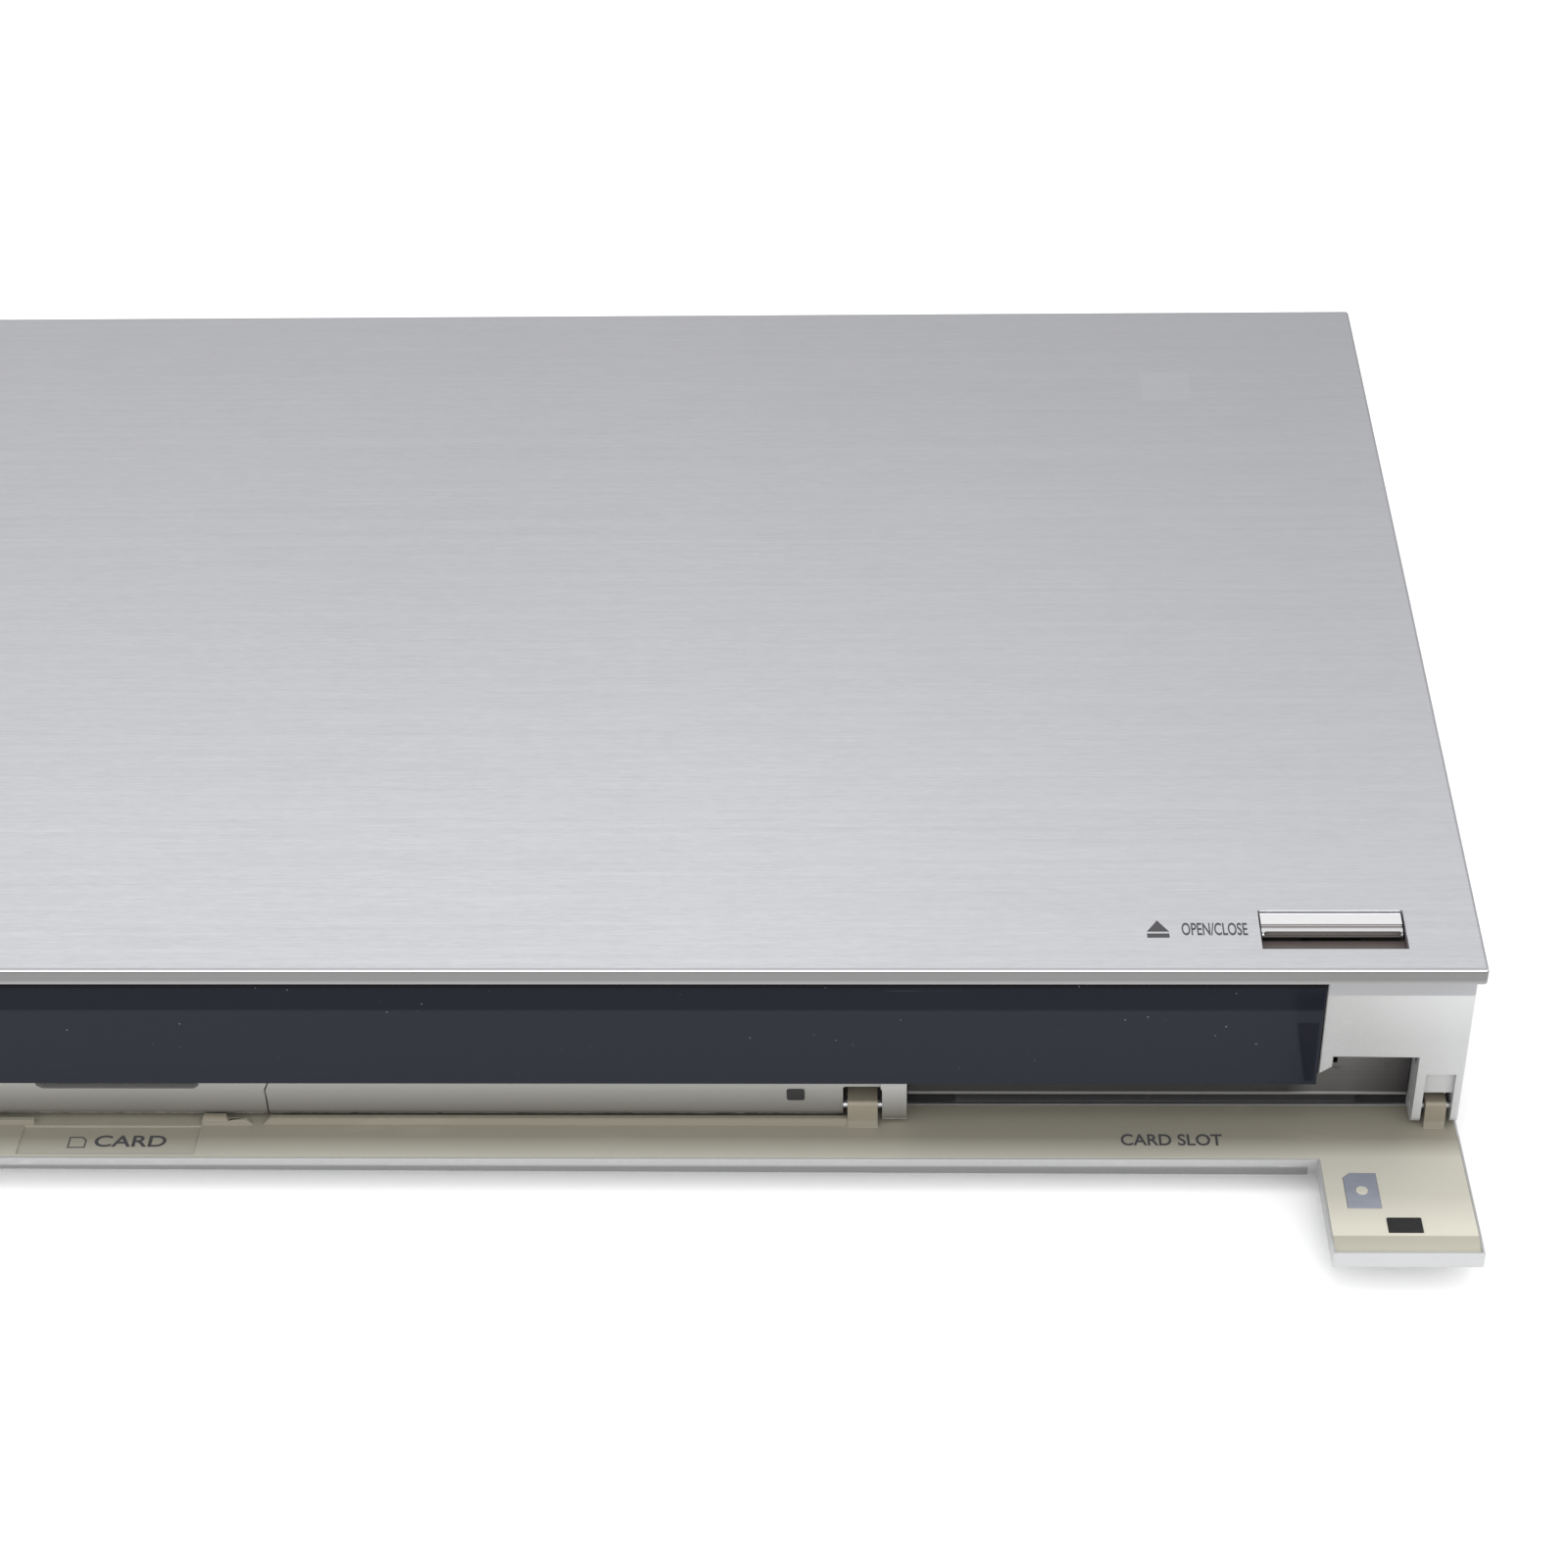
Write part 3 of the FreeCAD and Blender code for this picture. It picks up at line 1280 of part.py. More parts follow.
def make_drive_belt():
    """Square belt between the motor's pulley and the loading gear."""
    low = measure("belt_low")
    gear = Vector(measure("gear_x"), measure("gear_y"), low)
    motor = Vector(measure("tray_x + motor_x"), measure("motor_y"), low)
    slack = measure("run_gap / 2")
    height = measure("belt_height")
    loops = []
    for extra in (slack, slack + measure("belt_thickness")):
        loops.append(belt_loop(Vector(gear), measure("pulley_radius") + extra,
                               Vector(motor), measure("motor_pulley_radius") + extra, height))
    return finish(drawn(loops[1].cut(loops[0])), "drive_belt")


def make_drive_base():
    """Moulded chassis of the drive: tray channel, well for the deck and shelf for the gears."""
    body = new_body("drive_base")
    left = "tray_x - drive_half"
    right = "tray_x + drive_half"
    pad(body, "XY", "drive_low", "drive_high", rectangle(left, "drive_front", right, "drive_rear"))
    pocket(body, "XY", "ledge_top", "drive_high",
           rectangle("tray_x - channel_half", "drive_front - 1", "tray_x + channel_half", "drive_rear - 6"))
    pocket(body, "XY", "drive_low", "ledge_top",
           rectangle("tray_x - well_half", "shelf_rear", "tray_x + well_half", "well_rear"))
    front_room = rectangle("tray_x - well_half", "shelf_front", "tray_x + channel_half", "shelf_rear")
    pocket(body, "XY", "shelf_top", "ledge_top", front_room)
    pocket(body, "XY", "drive_low", "shelf_low", front_room)
    for sign in ("-", "+"):
        inner = f"tray_x {sign} (drive_half + channel_half) / 2"
        pocket(body, "XY", "drive_low", "drive_high - 3",
               rectangle(f"{inner} - 3", "drive_front + 20", f"{inner} + 3", "drive_rear - 26"))
    pocket(body, "XY", "shelf_low", "shelf_top", ("tray_x + motor_x", "motor_y", "1.6"))
    pad(body, "XY", "shelf_top", "gear_top - 0.4", ("gear_x", "gear_y", "gear_post_radius"))
    reach = "(deck_half + trunnion_reach)"
    pocket(body, "YZ", f"tray_x - {reach} - pin_fit", f"tray_x + {reach} + pin_fit",
           ("deck_pivot_y", "deck_pivot_z", "trunnion_radius + pin_fit"))
    return finish(body, "drive_base")


def make_drive_cover():
    """Sheet lid of the drive with the hole for the clamp puck."""
    body = new_body("drive_cover")
    pad(body, "XY", "drive_high", "drive_cover_top",
        rectangle("tray_x - drive_half", "drive_front", "tray_x + drive_half", "drive_rear"))
    pocket(body, "XY", "drive_high", "drive_cover_top", ("tray_x", "spindle_y", "puck_neck_radius + run_gap"))
    return finish(body, "drive_cover")


def make_clamp_puck():
    """Puck that hangs in the lid by its flange."""
    neck = rod("Z", "tray_x", "spindle_y", "drive_high - puck_drop", "puck_neck_radius",
               "puck_drop + drive_sheet + run_gap")
    flange = rod("Z", "tray_x", "spindle_y", "drive_cover_top + run_gap", "puck_flange_radius",
                 "puck_flange_height")
    socket = rod("Z", "tray_x", "spindle_y", "drive_high - puck_drop", "hub_radius + 0.2", "1.2")
    return finish(cut(fuse(neck, flange), socket), "clamp_puck")


def make_lift_deck():
    """Deck that carries spindle and pickup, with its trunnions and the posts of the rods."""
    body = new_body("lift_deck")
    neck_left = "tray_x - deck_neck_half"
    neck_right = "tray_x + deck_neck_half"
    motor_left = "tray_x + screw_x - sled_motor_radius - run_gap"
    motor_right = "tray_x + screw_x + sled_motor_radius + run_gap"
    pad(body, "XY", "deck_low", "deck_top",
        [(neck_left, "deck_front"), (neck_right, "deck_front"), (neck_right, "deck_wide_front"),
         ("tray_x + deck_half", "deck_wide_front"), ("tray_x + deck_half", "deck_rear"),
         (motor_right, "deck_rear"), (motor_right, "sled_motor_front"), (motor_left, "sled_motor_front"),
         (motor_left, "deck_rear"), ("tray_x - deck_half", "deck_rear"),
         ("tray_x - deck_half", "deck_wide_front"), (neck_left, "deck_wide_front")])
    for start in ("tray_x - deck_half - trunnion_reach", "tray_x + deck_half - 1"):
        pad(body, "YZ", start, f"{start} + trunnion_reach + 1",
            ("deck_pivot_y", "deck_pivot_z", "trunnion_radius"))
    for sign in ("-", "+"):
        for front in ("rod_front", "rod_rear"):
            middle = f"tray_x {sign} rod_x"
            pad(body, "XY", "deck_top", "rod_z + rod_radius + 0.4",
                rectangle(f"{middle} - 2", front, f"{middle} + 2", f"{front} + rod_post"))
    pad(body, "XY", "deck_top", "screw_z + screw_radius",
        rectangle("tray_x + screw_x - 2", "screw_front", "tray_x + screw_x + 2", "screw_front + 2"))
    pocket(body, "XZ", "rod_front", "rod_rear + rod_post",
           ("tray_x - rod_x", "rod_z", "rod_radius"), ("tray_x + rod_x", "rod_z", "rod_radius"))
    pocket(body, "XZ", "screw_front - 1", "screw_front + 3",
           ("tray_x + screw_x", "screw_z", "screw_radius - 0.3"))
    pocket(body, "XY", "deck_low", "deck_top",
           rectangle("tray_x - 14", "pickup_front + 4", "tray_x + 14", "pickup_front + 42"))
    return finish(body, "lift_deck")


def make_spindle_motor():
    return finish(rod("Z", "tray_x", "spindle_y", "deck_top", "spindle_motor_radius", "spindle_motor_height"),
                  "spindle_motor")


def make_turntable():
    """Turntable with the hub that centres a disc."""
    plate = rod("Z", "tray_x", "spindle_y", "turntable_low", "turntable_radius", "turntable_height - 1")
    rim = cut(rod("Z", "tray_x", "spindle_y", "turntable_low", "turntable_radius", "turntable_height"),
              rod("Z", "tray_x", "spindle_y", "turntable_low", "turntable_radius - 3", "turntable_height"))
    hub = rod("Z", "tray_x", "spindle_y", "turntable_low", "hub_radius", "turntable_height + hub_height")
    return finish(fuse(plate, rim, hub), "turntable")


def make_pickup():
    """Sled of the optical pickup, on its two rods, with the arm that follows the lead screw."""
    body = new_body("pickup")
    pad(body, "XY", "pickup_low", "deck_top + pickup_height",
        rectangle("tray_x - pickup_half", "pickup_front", "tray_x + pickup_half",
                  "pickup_front + pickup_length"))
    arm_top = "screw_z + screw_radius + 0.1 + 0.6"
    pad(body, "XY", "pickup_low", arm_top,
        rectangle("tray_x + pickup_half - 1", "sled_arm_front", "tray_x + screw_x + 2",
                  "sled_arm_front + sled_arm_length"))
    pocket(body, "XZ", "pickup_front - 1", "pickup_front + pickup_length + 1",
           ("tray_x - rod_x", "rod_z", "rod_radius + pin_fit"),
           ("tray_x + rod_x", "rod_z", "rod_radius + pin_fit"))
    pocket(body, "XZ", "sled_arm_front - 1", "sled_arm_front + sled_arm_length + 1",
           ("tray_x + screw_x", "screw_z", "screw_radius + 0.1"))
    lens_y = "pickup_front + lens_inset"
    pocket(body, "XY", "deck_top + pickup_height - 1", "deck_top + pickup_height",
           ("tray_x", lens_y, "lens_radius + 2"))
    return finish(body, "pickup")


def make_pickup_lens():
    """Objective lens of the pickup in its holder."""
    low = "deck_top + pickup_height - 1"
    holder = rod("Z", "tray_x", "pickup_front + lens_inset", low, "lens_radius", "1 + lens_height")
    dish = rod("Z", "tray_x", "pickup_front + lens_inset", f"{low} + lens_height + 0.6",
               "lens_radius - 0.8", "1")
    return finish(cut(holder, dish), "pickup_lens")


def make_guide_rods():
    """Two ground rods that guide the pickup."""
    rods = []
    for sign in ("-", "+"):
        rods.append(rod("Y", f"tray_x {sign} rod_x", "rod_front", "rod_z", "rod_radius",
                        "rod_rear + rod_post - rod_front"))
    return finish(group(*rods), "guide_rods")


def make_lead_screw():
    """Lead screw between its bearing post and the sled motor."""
    thread = rod("Y", "tray_x + screw_x", "screw_front + 2 + run_gap", "screw_z", "screw_radius",
                 "sled_motor_front - screw_front - 2 - 2 * run_gap")
    journal = rod("Y", "tray_x + screw_x", "screw_front + 0.3", "screw_z", "screw_radius - 0.35", "3")
    return finish(fuse(thread, journal), "lead_screw")


def make_sled_motor():
    return finish(rod("Y", "tray_x + screw_x", "sled_motor_front", "screw_z", "sled_motor_radius",
                      "sled_motor_length"), "sled_motor")


# Electronics

def make_front_board():
    body = new_body("front_board")
    pad(body, "XZ", "board_rear", "board_rear + board_sheet",
        rectangle("front_board_left", "display_low - 1", "front_board_right",
                  "display_low + display_height + 1"))
    return finish(body, "front_board")


def make_display_module():
    """Display between the frame and its board."""
    left = "display_x - display_width / 2"
    tube = block(left, "frame_back", "display_low", "display_width", "display_depth", "display_height")
    recess = block(f"{left} + 4", "frame_back", "display_low + 2", "display_width - 8", "0.5",
                   "display_height - 4")
    return finish(cut(tube, recess), "display_module")


def make_main_board():
    body = new_body("main_board")
    pad(body, "XY", "main_low", "main_top", rectangle("main_left", "main_front", "main_right",
                                                      "rear_inner - 0.4"))
    return finish(body, "main_board")


def make_heatsink():
    """Finned block on the main processor."""
    left = "heatsink_x - heatsink_size / 2"
    front = "heatsink_y - heatsink_size / 2"
    parts = [block(left, front, "main_top", "heatsink_size", "heatsink_size", "heatsink_base")]
    for number in range(int(SIZES["fin_count"])):
        step = f"(heatsink_size - fin_wall) / (fin_count - 1) * {number}"
        parts.append(block(f"{left} + {step}", front, "main_top", "fin_wall", "heatsink_size",
                           "heatsink_height"))
    return finish(fuse(*parts), "heatsink")


def make_tuner_can():
    """Screened tuner behind the antenna sockets."""
    return finish(block("tuner_left", "rear_inner - tuner_depth", "main_top", "tuner_right - tuner_left",
                        "tuner_depth", "tuner_top - main_top"), "tuner_can")


def antenna_columns():
    return ("antenna_x", "antenna_x + antenna_spacing")


def jack_columns():
    return [f"jack_x + jack_spacing * {number}" for number in range(3)]


def make_antenna_sockets():
    """Four threaded aerial sockets, each with its contact bore."""
    sockets = []
    for across in antenna_columns():
        for up in ("antenna_low_z", "antenna_low_z + antenna_spacing"):
            barrel = rod("Y", across, "rear_inner", up, "antenna_radius", "chassis_sheet + antenna_reach")
            bore = rod("Y", across, "rear_outer + 2", up, "antenna_bore", "antenna_reach")
            sockets.append(cut(barrel, bore))
    return finish(group(*sockets), "antenna_sockets")


def make_video_socket():
    """Flat digital picture socket with its tongue."""
    left = "video_x - video_width / 2"
    front = "rear_outer + socket_reach - socket_depth"
    shell = block(left, front, "main_top", "video_width", "socket_depth", "video_height")
    mouth = block(f"{left} + 0.6", f"{front} + 3", "main_top + 0.6", "video_width - 1.2", "socket_depth",
                  "video_height - 1.2")
    tongue = block(f"{left} + 2", f"{front} + 2", "main_top + video_height / 2 - 0.5", "video_width - 4",
                   "10", "1")
    return finish(fuse(cut(shell, mouth), tongue), "video_socket")


def make_network_socket():
    """Network socket, open to the rear."""
    left = "network_x - network_width / 2"
    front = "rear_outer + socket_reach - socket_depth"
    shell = block(left, front, "main_top", "network_width", "socket_depth", "network_height")
    mouth = block("network_x - 6", f"{front} + 2", "main_top + 3", "12", "socket_depth", "8")
    return finish(cut(shell, mouth), "network_socket")


def make_av_jacks():
    """Three round jacks in a row, each on its own body."""
    jacks = []
    for across in jack_columns():
        shell = rod("Y", across, "rear_inner", "jack_z", "jack_radius", "chassis_sheet + jack_reach")
        bore = rod("Y", across, "rear_outer + 1", "jack_z", "1.6", "jack_reach")
        rear = block(f"{across} - jack_flange / 2", "rear_inner - jack_body", "jack_z - jack_flange / 2",
                     "jack_flange", "jack_body", "jack_flange")
        jacks.append(cut(fuse(shell, rear), bore))
    return finish(group(*jacks), "av_jacks")


def make_power_board():
    body = new_body("power_board")
    pad(body, "XY", "power_low", "power_top", rectangle("power_left", "power_front", "power_right",
                                                        "power_rear"))
    return finish(body, "power_board")


def make_transformer():
    """Ferrite core with its winding across."""
    left = "(power_left + power_right) / 2 - transformer_width / 2"
    front = "(power_front + power_rear) / 2 - transformer_depth / 2"
    core = block(left, front, "power_top", "transformer_width", "transformer_depth", "transformer_height")
    sides = []
    for shift in ("0 - 1", "transformer_width - 4"):
        sides.append(block(f"{left} + {shift}", f"{front} + 5", "power_top + 3", "5",
                           "transformer_depth - 10",
                           "transformer_height - 6"))
    return finish(cut(core, *sides), "transformer")


def make_ac_inlet():
    """Mains inlet with two contact pins in its mouth."""
    left = "inlet_x - inlet_width / 2"
    low = "inlet_z - inlet_height / 2"
    front = "rear_inner - inlet_depth"
    shell = block(left, front, low, "inlet_width", "inlet_depth", "inlet_height")
    nose = block(f"{left} + 1.7", "rear_inner", f"{low} + 1.7", "inlet_width - 3.4",
                 "chassis_sheet + socket_reach",
                 "inlet_height - 3.4")
    mouth = block(f"{left} + 2.6", f"{front} + 3", f"{low} + 2.6", "inlet_width - 5.2", "inlet_depth + 3",
                  "inlet_height - 5.2")
    pins = []
    for sign in ("-", "+"):
        pins.append(rod("Y", f"inlet_x {sign} inlet_pin_spacing / 2", f"{front} + 2", "inlet_z",
                        "inlet_pin_radius", "inlet_depth - 3"))
    return finish(fuse(cut(fuse(shell, nose), mouth), *pins), "ac_inlet")


def make_fan_frame():
    """Square fan housing with its hub plate on three spokes."""
    body = new_body("fan_frame")
    front = "rear_inner - fan_depth"
    half = "fan_size / 2"
    pad(body, "XZ", front, "rear_inner",
        rectangle(f"fan_x - {half}", "fan_low", f"fan_x + {half}", "fan_low + fan_size"))
    pocket(body, "XZ", front, "rear_inner", ("fan_x", "fan_middle_z", "fan_bore"))
    pad(body, "XZ", front, f"{front} + 1.4",
        rectangle(f"fan_x - {half} + 1", "fan_middle_z - 1.2", f"fan_x + {half} - 1", "fan_middle_z + 1.2"))
    pad(body, "XZ", front, f"{front} + 1.4",
        rectangle("fan_x - 1.2", "fan_low + 1", "fan_x + 1.2", "fan_low + fan_size - 1"))
    pad(body, "XZ", front, f"{front} + 1.4", ("fan_x", "fan_middle_z", "fan_hub"))
    pad(body, "XZ", f"{front} + 1.4", f"{front} + 6", ("fan_x", "fan_middle_z", "1"))
    return finish(body, "fan_frame")


def make_fan_rotor():
    """Hub with slanted blades, bored for the pin of the hub plate."""
    middle = Vector(measure("fan_x"), 0, measure("fan_middle_z"))
    front = measure("rear_inner - fan_depth + 1.4 + run_gap")
    depth = measure("fan_depth - 1.4 - 3 * run_gap")
    hub_radius = measure("fan_hub")
    reach = measure("fan_bore - run_gap * 2")
    along = Vector(0, 1, 0)
    hub = Part.makeCylinder(hub_radius, depth, middle + along * front, along)
    count = int(SIZES["fan_blades"])
    blades = []
    for number in range(count):
        blade = Part.makeBox(1.0, depth * 0.8, reach - hub_radius + 1,
                             Vector(-0.5, -depth * 0.4, hub_radius - 1))
        blade.rotate(Vector(), Vector(0, 0, 1), 35)
        blade.translate(Vector(0, front + depth / 2, 0))
        blade.rotate(Vector(), along, 360 / count * number)
        blade.translate(middle)
        blades.append(blade)
    sweep = Part.makeCylinder(reach, depth, middle + along * front, along)
    bore = Part.makeCylinder(1.05, depth - 1.5, middle + along * (front - 0.1), along)
    shape = hub.fuse(blades).common(sweep).cut(bore)
    return finish(drawn(shape.removeSplitter()), "fan_rotor")


def make_hard_disk():
    """Disk drive with its stepped lid."""
    body = new_body("hard_disk")
    pad(body, "XY", "disk_low", "disk_low + disk_height - 2",
        rectangle("disk_left", "disk_front", "disk_left + disk_width", "disk_rear"))
    pad(body, "XY", "disk_low + disk_height - 2", "disk_low + disk_height",
        rectangle("disk_left + 4", "disk_front + 4", "disk_left + disk_width - 4", "disk_rear - 12"))
    return finish(body, "hard_disk")


def make_disk_bracket():
    """Channel that carries the disk above the card reader."""
    body = new_body("disk_bracket")
    under = "disk_low - bracket_sheet"
    pad(body, "XZ", "disk_front - 1", "disk_rear - bracket_rear",
        [("bracket_left", "floor_top"), ("bracket_left + bracket_sheet", "floor_top"),
         ("bracket_left + bracket_sheet", under), ("bracket_right - bracket_sheet", under),
         ("bracket_right - bracket_sheet", "floor_top"), ("bracket_right", "floor_top"),
         ("bracket_right", "disk_low"), ("bracket_left", "disk_low")])
    return finish(body, "disk_bracket")


def make_card_reader():
    """Flat reader on the floor behind the card bay."""
    front = "front_depth + 0.6"
    shell = block("bay_middle - reader_width / 2", front, "floor_top", "reader_width", "reader_depth",
                  "reader_height")
    slot = block("bay_middle - card_slot_width / 2", f"{front} - 1", "card_slot_low", "card_slot_width",
                 "card_slot_depth + 1", "card_slot_height")
    return finish(cut(shell, slot), "card_reader")


def make_memory_reader():
    """Memory card reader behind the slot in the bar."""
    half = "(memory_slot_width / 2 + memory_reader_wall)"
    front = "front_depth + chassis_sheet"
    shell = block(f"memory_slot_x - {half}", front, "floor_top", f"2 * {half}", "memory_reader_depth",
                  "window_bottom + 1 - floor_top")
    slot = block("memory_slot_x - memory_slot_width / 2", f"{front} - 1", "memory_slot_floor",
                 "memory_slot_width", "memory_reader_depth - 4", "window_bottom - memory_slot_floor")
    return finish(cut(shell, slot), "memory_reader")


def make_recorder():
    """Makes every piece, in the order of the recorder's sections."""
    makers = [
        make_top_panel, make_top_cover, make_bottom_chassis, make_rear_panel, make_feet,
        make_cover_screws, make_front_frame, make_display_window, make_right_bezel, make_left_bezel,
        make_trim_bar, make_slot_bar, make_hinge_pins, make_card_shield, make_flap_magnet,
        make_flap_panel, make_flap_liner, make_catch_plate, make_cushion_pad, make_key_wells,
        make_key_boards, make_tray_front, make_disc_tray, make_tray_rack, make_loading_gear,
        make_motor_pulley, make_loading_motor, make_drive_belt, make_drive_base, make_drive_cover,
        make_clamp_puck, make_lift_deck, make_spindle_motor, make_turntable, make_pickup,
        make_pickup_lens, make_guide_rods, make_lead_screw, make_sled_motor, make_front_board,
        make_display_module, make_main_board, make_heatsink, make_tuner_can, make_antenna_sockets,
        make_video_socket, make_network_socket, make_av_jacks, make_power_board, make_transformer,
        make_ac_inlet, make_fan_frame, make_fan_rotor, make_hard_disk, make_disk_bracket,
        make_card_reader, make_memory_reader,
    ]
    for maker in makers:
        maker()
    make_key("eject_button", "0 + ")
    make_key("power_button", "0 - ")
    document.recompute()


def check_recorder():
    """Stops if any object failed or any piece is empty or invalid."""
    for thing in document.Objects:
        if "Invalid" in thing.State or "Error" in thing.State:
            raise RuntimeError(f"{thing.Name} ({thing.Label}) failed")
    for thing in pieces:
        if thing.Shape.isNull() or not thing.Shape.isValid() or thing.Shape.Volume <= 0:
            raise RuntimeError(f"{thing.Label} has no valid shape")


def write_pieces():
    """Writes one STEP file per piece."""
    os.makedirs("parts", exist_ok=True)
    for thing in pieces:
        thing.Shape.exportStep(os.path.join("parts", thing.Label + ".step"))
        box = thing.Shape.BoundBox
        print(f"{thing.Label}: {len(thing.Shape.Solids)} solids, volume {thing.Shape.Volume:.1f},"
              f" x {box.XMin:.2f} {box.XMax:.2f}, y {box.YMin:.2f} {box.YMax:.2f},"
              f" z {box.ZMin:.2f} {box.ZMax:.2f}")


make_recorder()
check_recorder()
write_pieces()
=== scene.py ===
import json
from math import cos, pi, radians, sin

import bmesh
import bpy
from bpy.props import FloatProperty, FloatVectorProperty, PointerProperty
from mathutils import Matrix, Vector


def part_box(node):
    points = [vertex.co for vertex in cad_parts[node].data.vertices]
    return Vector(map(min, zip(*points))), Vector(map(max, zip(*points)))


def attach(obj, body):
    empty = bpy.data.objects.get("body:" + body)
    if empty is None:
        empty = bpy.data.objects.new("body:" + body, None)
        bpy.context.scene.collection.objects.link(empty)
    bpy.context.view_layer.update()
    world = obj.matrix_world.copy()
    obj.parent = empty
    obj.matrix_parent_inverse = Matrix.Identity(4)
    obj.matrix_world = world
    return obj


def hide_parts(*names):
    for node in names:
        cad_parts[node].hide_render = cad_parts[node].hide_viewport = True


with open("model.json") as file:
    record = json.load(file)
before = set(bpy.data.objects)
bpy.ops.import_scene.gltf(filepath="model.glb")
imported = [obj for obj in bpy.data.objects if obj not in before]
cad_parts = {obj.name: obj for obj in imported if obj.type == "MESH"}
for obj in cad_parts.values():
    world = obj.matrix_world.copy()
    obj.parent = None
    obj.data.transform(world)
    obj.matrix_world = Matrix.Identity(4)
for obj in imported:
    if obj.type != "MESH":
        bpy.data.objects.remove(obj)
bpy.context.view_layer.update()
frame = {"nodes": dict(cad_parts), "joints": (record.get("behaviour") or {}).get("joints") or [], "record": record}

bl_info = {
    "name": "Disc recorder",
    "version": (1, 0, 0),
    "blender": (4, 5, 0),
    "location": "3D View > Sidebar > Recorder",
    "description": "Builds the detailed pieces, finishes and studio of a slim disc recorder",
    "category": "Add Mesh",
}

MILLI = 0.001
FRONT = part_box("top_panel")[0].y
HINGE = next(Vector(joint["pos_m"]) for joint in frame["joints"] if joint["name"] == "flap_hinge")
FLAP_OPEN = radians(85)
SLACK = 0.00002

# Heights and depths of the two bars, and what holds the hinge pins
BAR_LOW, BAR_BEND, BAR_TOP = 0.0063, 0.0106, 0.0149
BAR_FACE, BAR_BROW, EAR_FACE = FRONT + 0.0052, FRONT + 0.0044, FRONT + 0.0042
MIDDLE_ARM, LEFT_ARM, FAR_ARM = 0.1265, -0.038, -0.184
PIN_RADIUS, PIN_BORE, PIN_SEAT = 0.0006, 0.00065, 0.003
NOTCH_HALF, NOTCH_TOP = 0.0029, 0.0135

# The shut flap round the hinge axis: its faces along Y, its ends along X and its heights along Z
FLAP_OUTER, FLAP_BACK, FLAP_FACE = -0.0057, -0.0036, -0.0028
FLAP_LEFT, TONGUE_LEFT, FLAP_RIGHT = -0.1929, 0.1933, 0.2148
FLAP_LOW, STRIP_HIGH, FLAP_HIGH = -0.0035, 0.00935, 0.0295
STAKE = (0.19895, 0.01605)


# Values the user can change

def length(name, description, default):
    """A size in metres, shown in the scene's unit."""
    return FloatProperty(name=name, description=description, default=default, min=0.0, subtype="DISTANCE",
                         unit="LENGTH", precision=5)


def colour(name, description, default):
    """A colour, shown as a swatch."""
    return FloatVectorProperty(name=name, description=description, default=default, min=0.0, max=1.0,
                               subtype="COLOR", size=3)


class RecorderSizes(bpy.types.PropertyGroup):
    plate_edge: length("Plate edge", "Width of the bright edge of the top plate", 0.0004)
    plate_corner: length("Plate corner", "Radius of the corners of the top plate", 0.0006)
    plate_lip: length("Plate lip", "Wall of the lips of the top plate", 0.001)
    plate_sheet: length("Plate sheet", "Thickness of the top plate", 0.0012)
    print_height: length("Print height", "Thickness of the printed marks", 0.00002)
    metal_edge: length("Metal edge", "Rounding of cut metal edges", 0.0001)
    moulding_edge: length("Moulding edge", "Rounding of moulded edges", 0.00018)
    window_edge: length("Window edge", "Rounding of the window's edges", 0.00015)
    key_width: length("Key width", "Width of the opening of a key", 0.0208)
    key_depth: length("Key depth", "Depth of the opening of a key", 0.0083)
    key_rear: length("Key rear", "Reach of a key's cap behind its carrier", 0.0006)
    key_ridge: length("Key ridge", "Radius of the ridge along the front of a key", 0.0008)
    cup_border: length("Cup border", "Border of the cup below a key", 0.001)
    bar_nose: length("Bar nose", "Radius of the lower nose of the bars", 0.0018)
    bezel_wall: length("Bezel wall", "Wall of the two end blocks", 0.0018)
    flap_rim: length("Flap rim", "Rim of the flap's outer skin round its lining", 0.00035)
    flap_corner: length("Flap corner", "Radius of the flap's outer edges", 0.0005)
    strip_chamfer: length("Strip chamfer", "Chamfer below the front of the flap's strip", 0.0018)
    knuckle: length("Knuckle", "Radius of the hinge arms' backs", 0.0006)
    foot_wall: length("Foot wall", "Wall of the hollow feet", 0.003)
    word_height: length("Word height", "Height of the words beside the key", 0.0027)


class RecorderColours(bpy.types.PropertyGroup):
    brushed: colour("Brushed plate", "Top plate", (0.62, 0.625, 0.65))
    cover: colour("Cover", "Painted sheet cover", (0.31, 0.312, 0.325))
    zinc: colour("Zinc", "Zinc plated sheet", (0.36, 0.36, 0.37))
    silver: colour("Silver moulding", "End blocks and outer skin of the flap", (0.345, 0.347, 0.345))
    beige: colour("Beige moulding", "Lining of the flap", (0.475, 0.46, 0.395))
    bar: colour("Bars", "Bars below the window", (0.29, 0.288, 0.275))
    smoked: colour("Smoked window", "Window and tray front", (0.0150, 0.0173, 0.0238))
    black: colour("Black moulding", "Inner mouldings", (0.018, 0.018, 0.02))
    rubber: colour("Rubber", "Feet and belt", (0.02, 0.02, 0.02))
    steel: colour("Steel", "Pins, rods and screws", (0.55, 0.56, 0.58))
    catch: colour("Catch plate", "Steel plate on the flap", (0.50, 0.53, 0.62))
    board: colour("Circuit board", "Solder mask", (0.012, 0.075, 0.028))
    gear: colour("Gear plastic", "Rack, gear and pulley", (0.70, 0.70, 0.65))
    nickel: colour("Nickel", "Rear sockets", (0.62, 0.60, 0.55))
    floor: colour("Floor", "Studio floor", (0.93, 0.93, 0.935))


def colours():
    return bpy.context.scene.recorder_colours


# Modelling

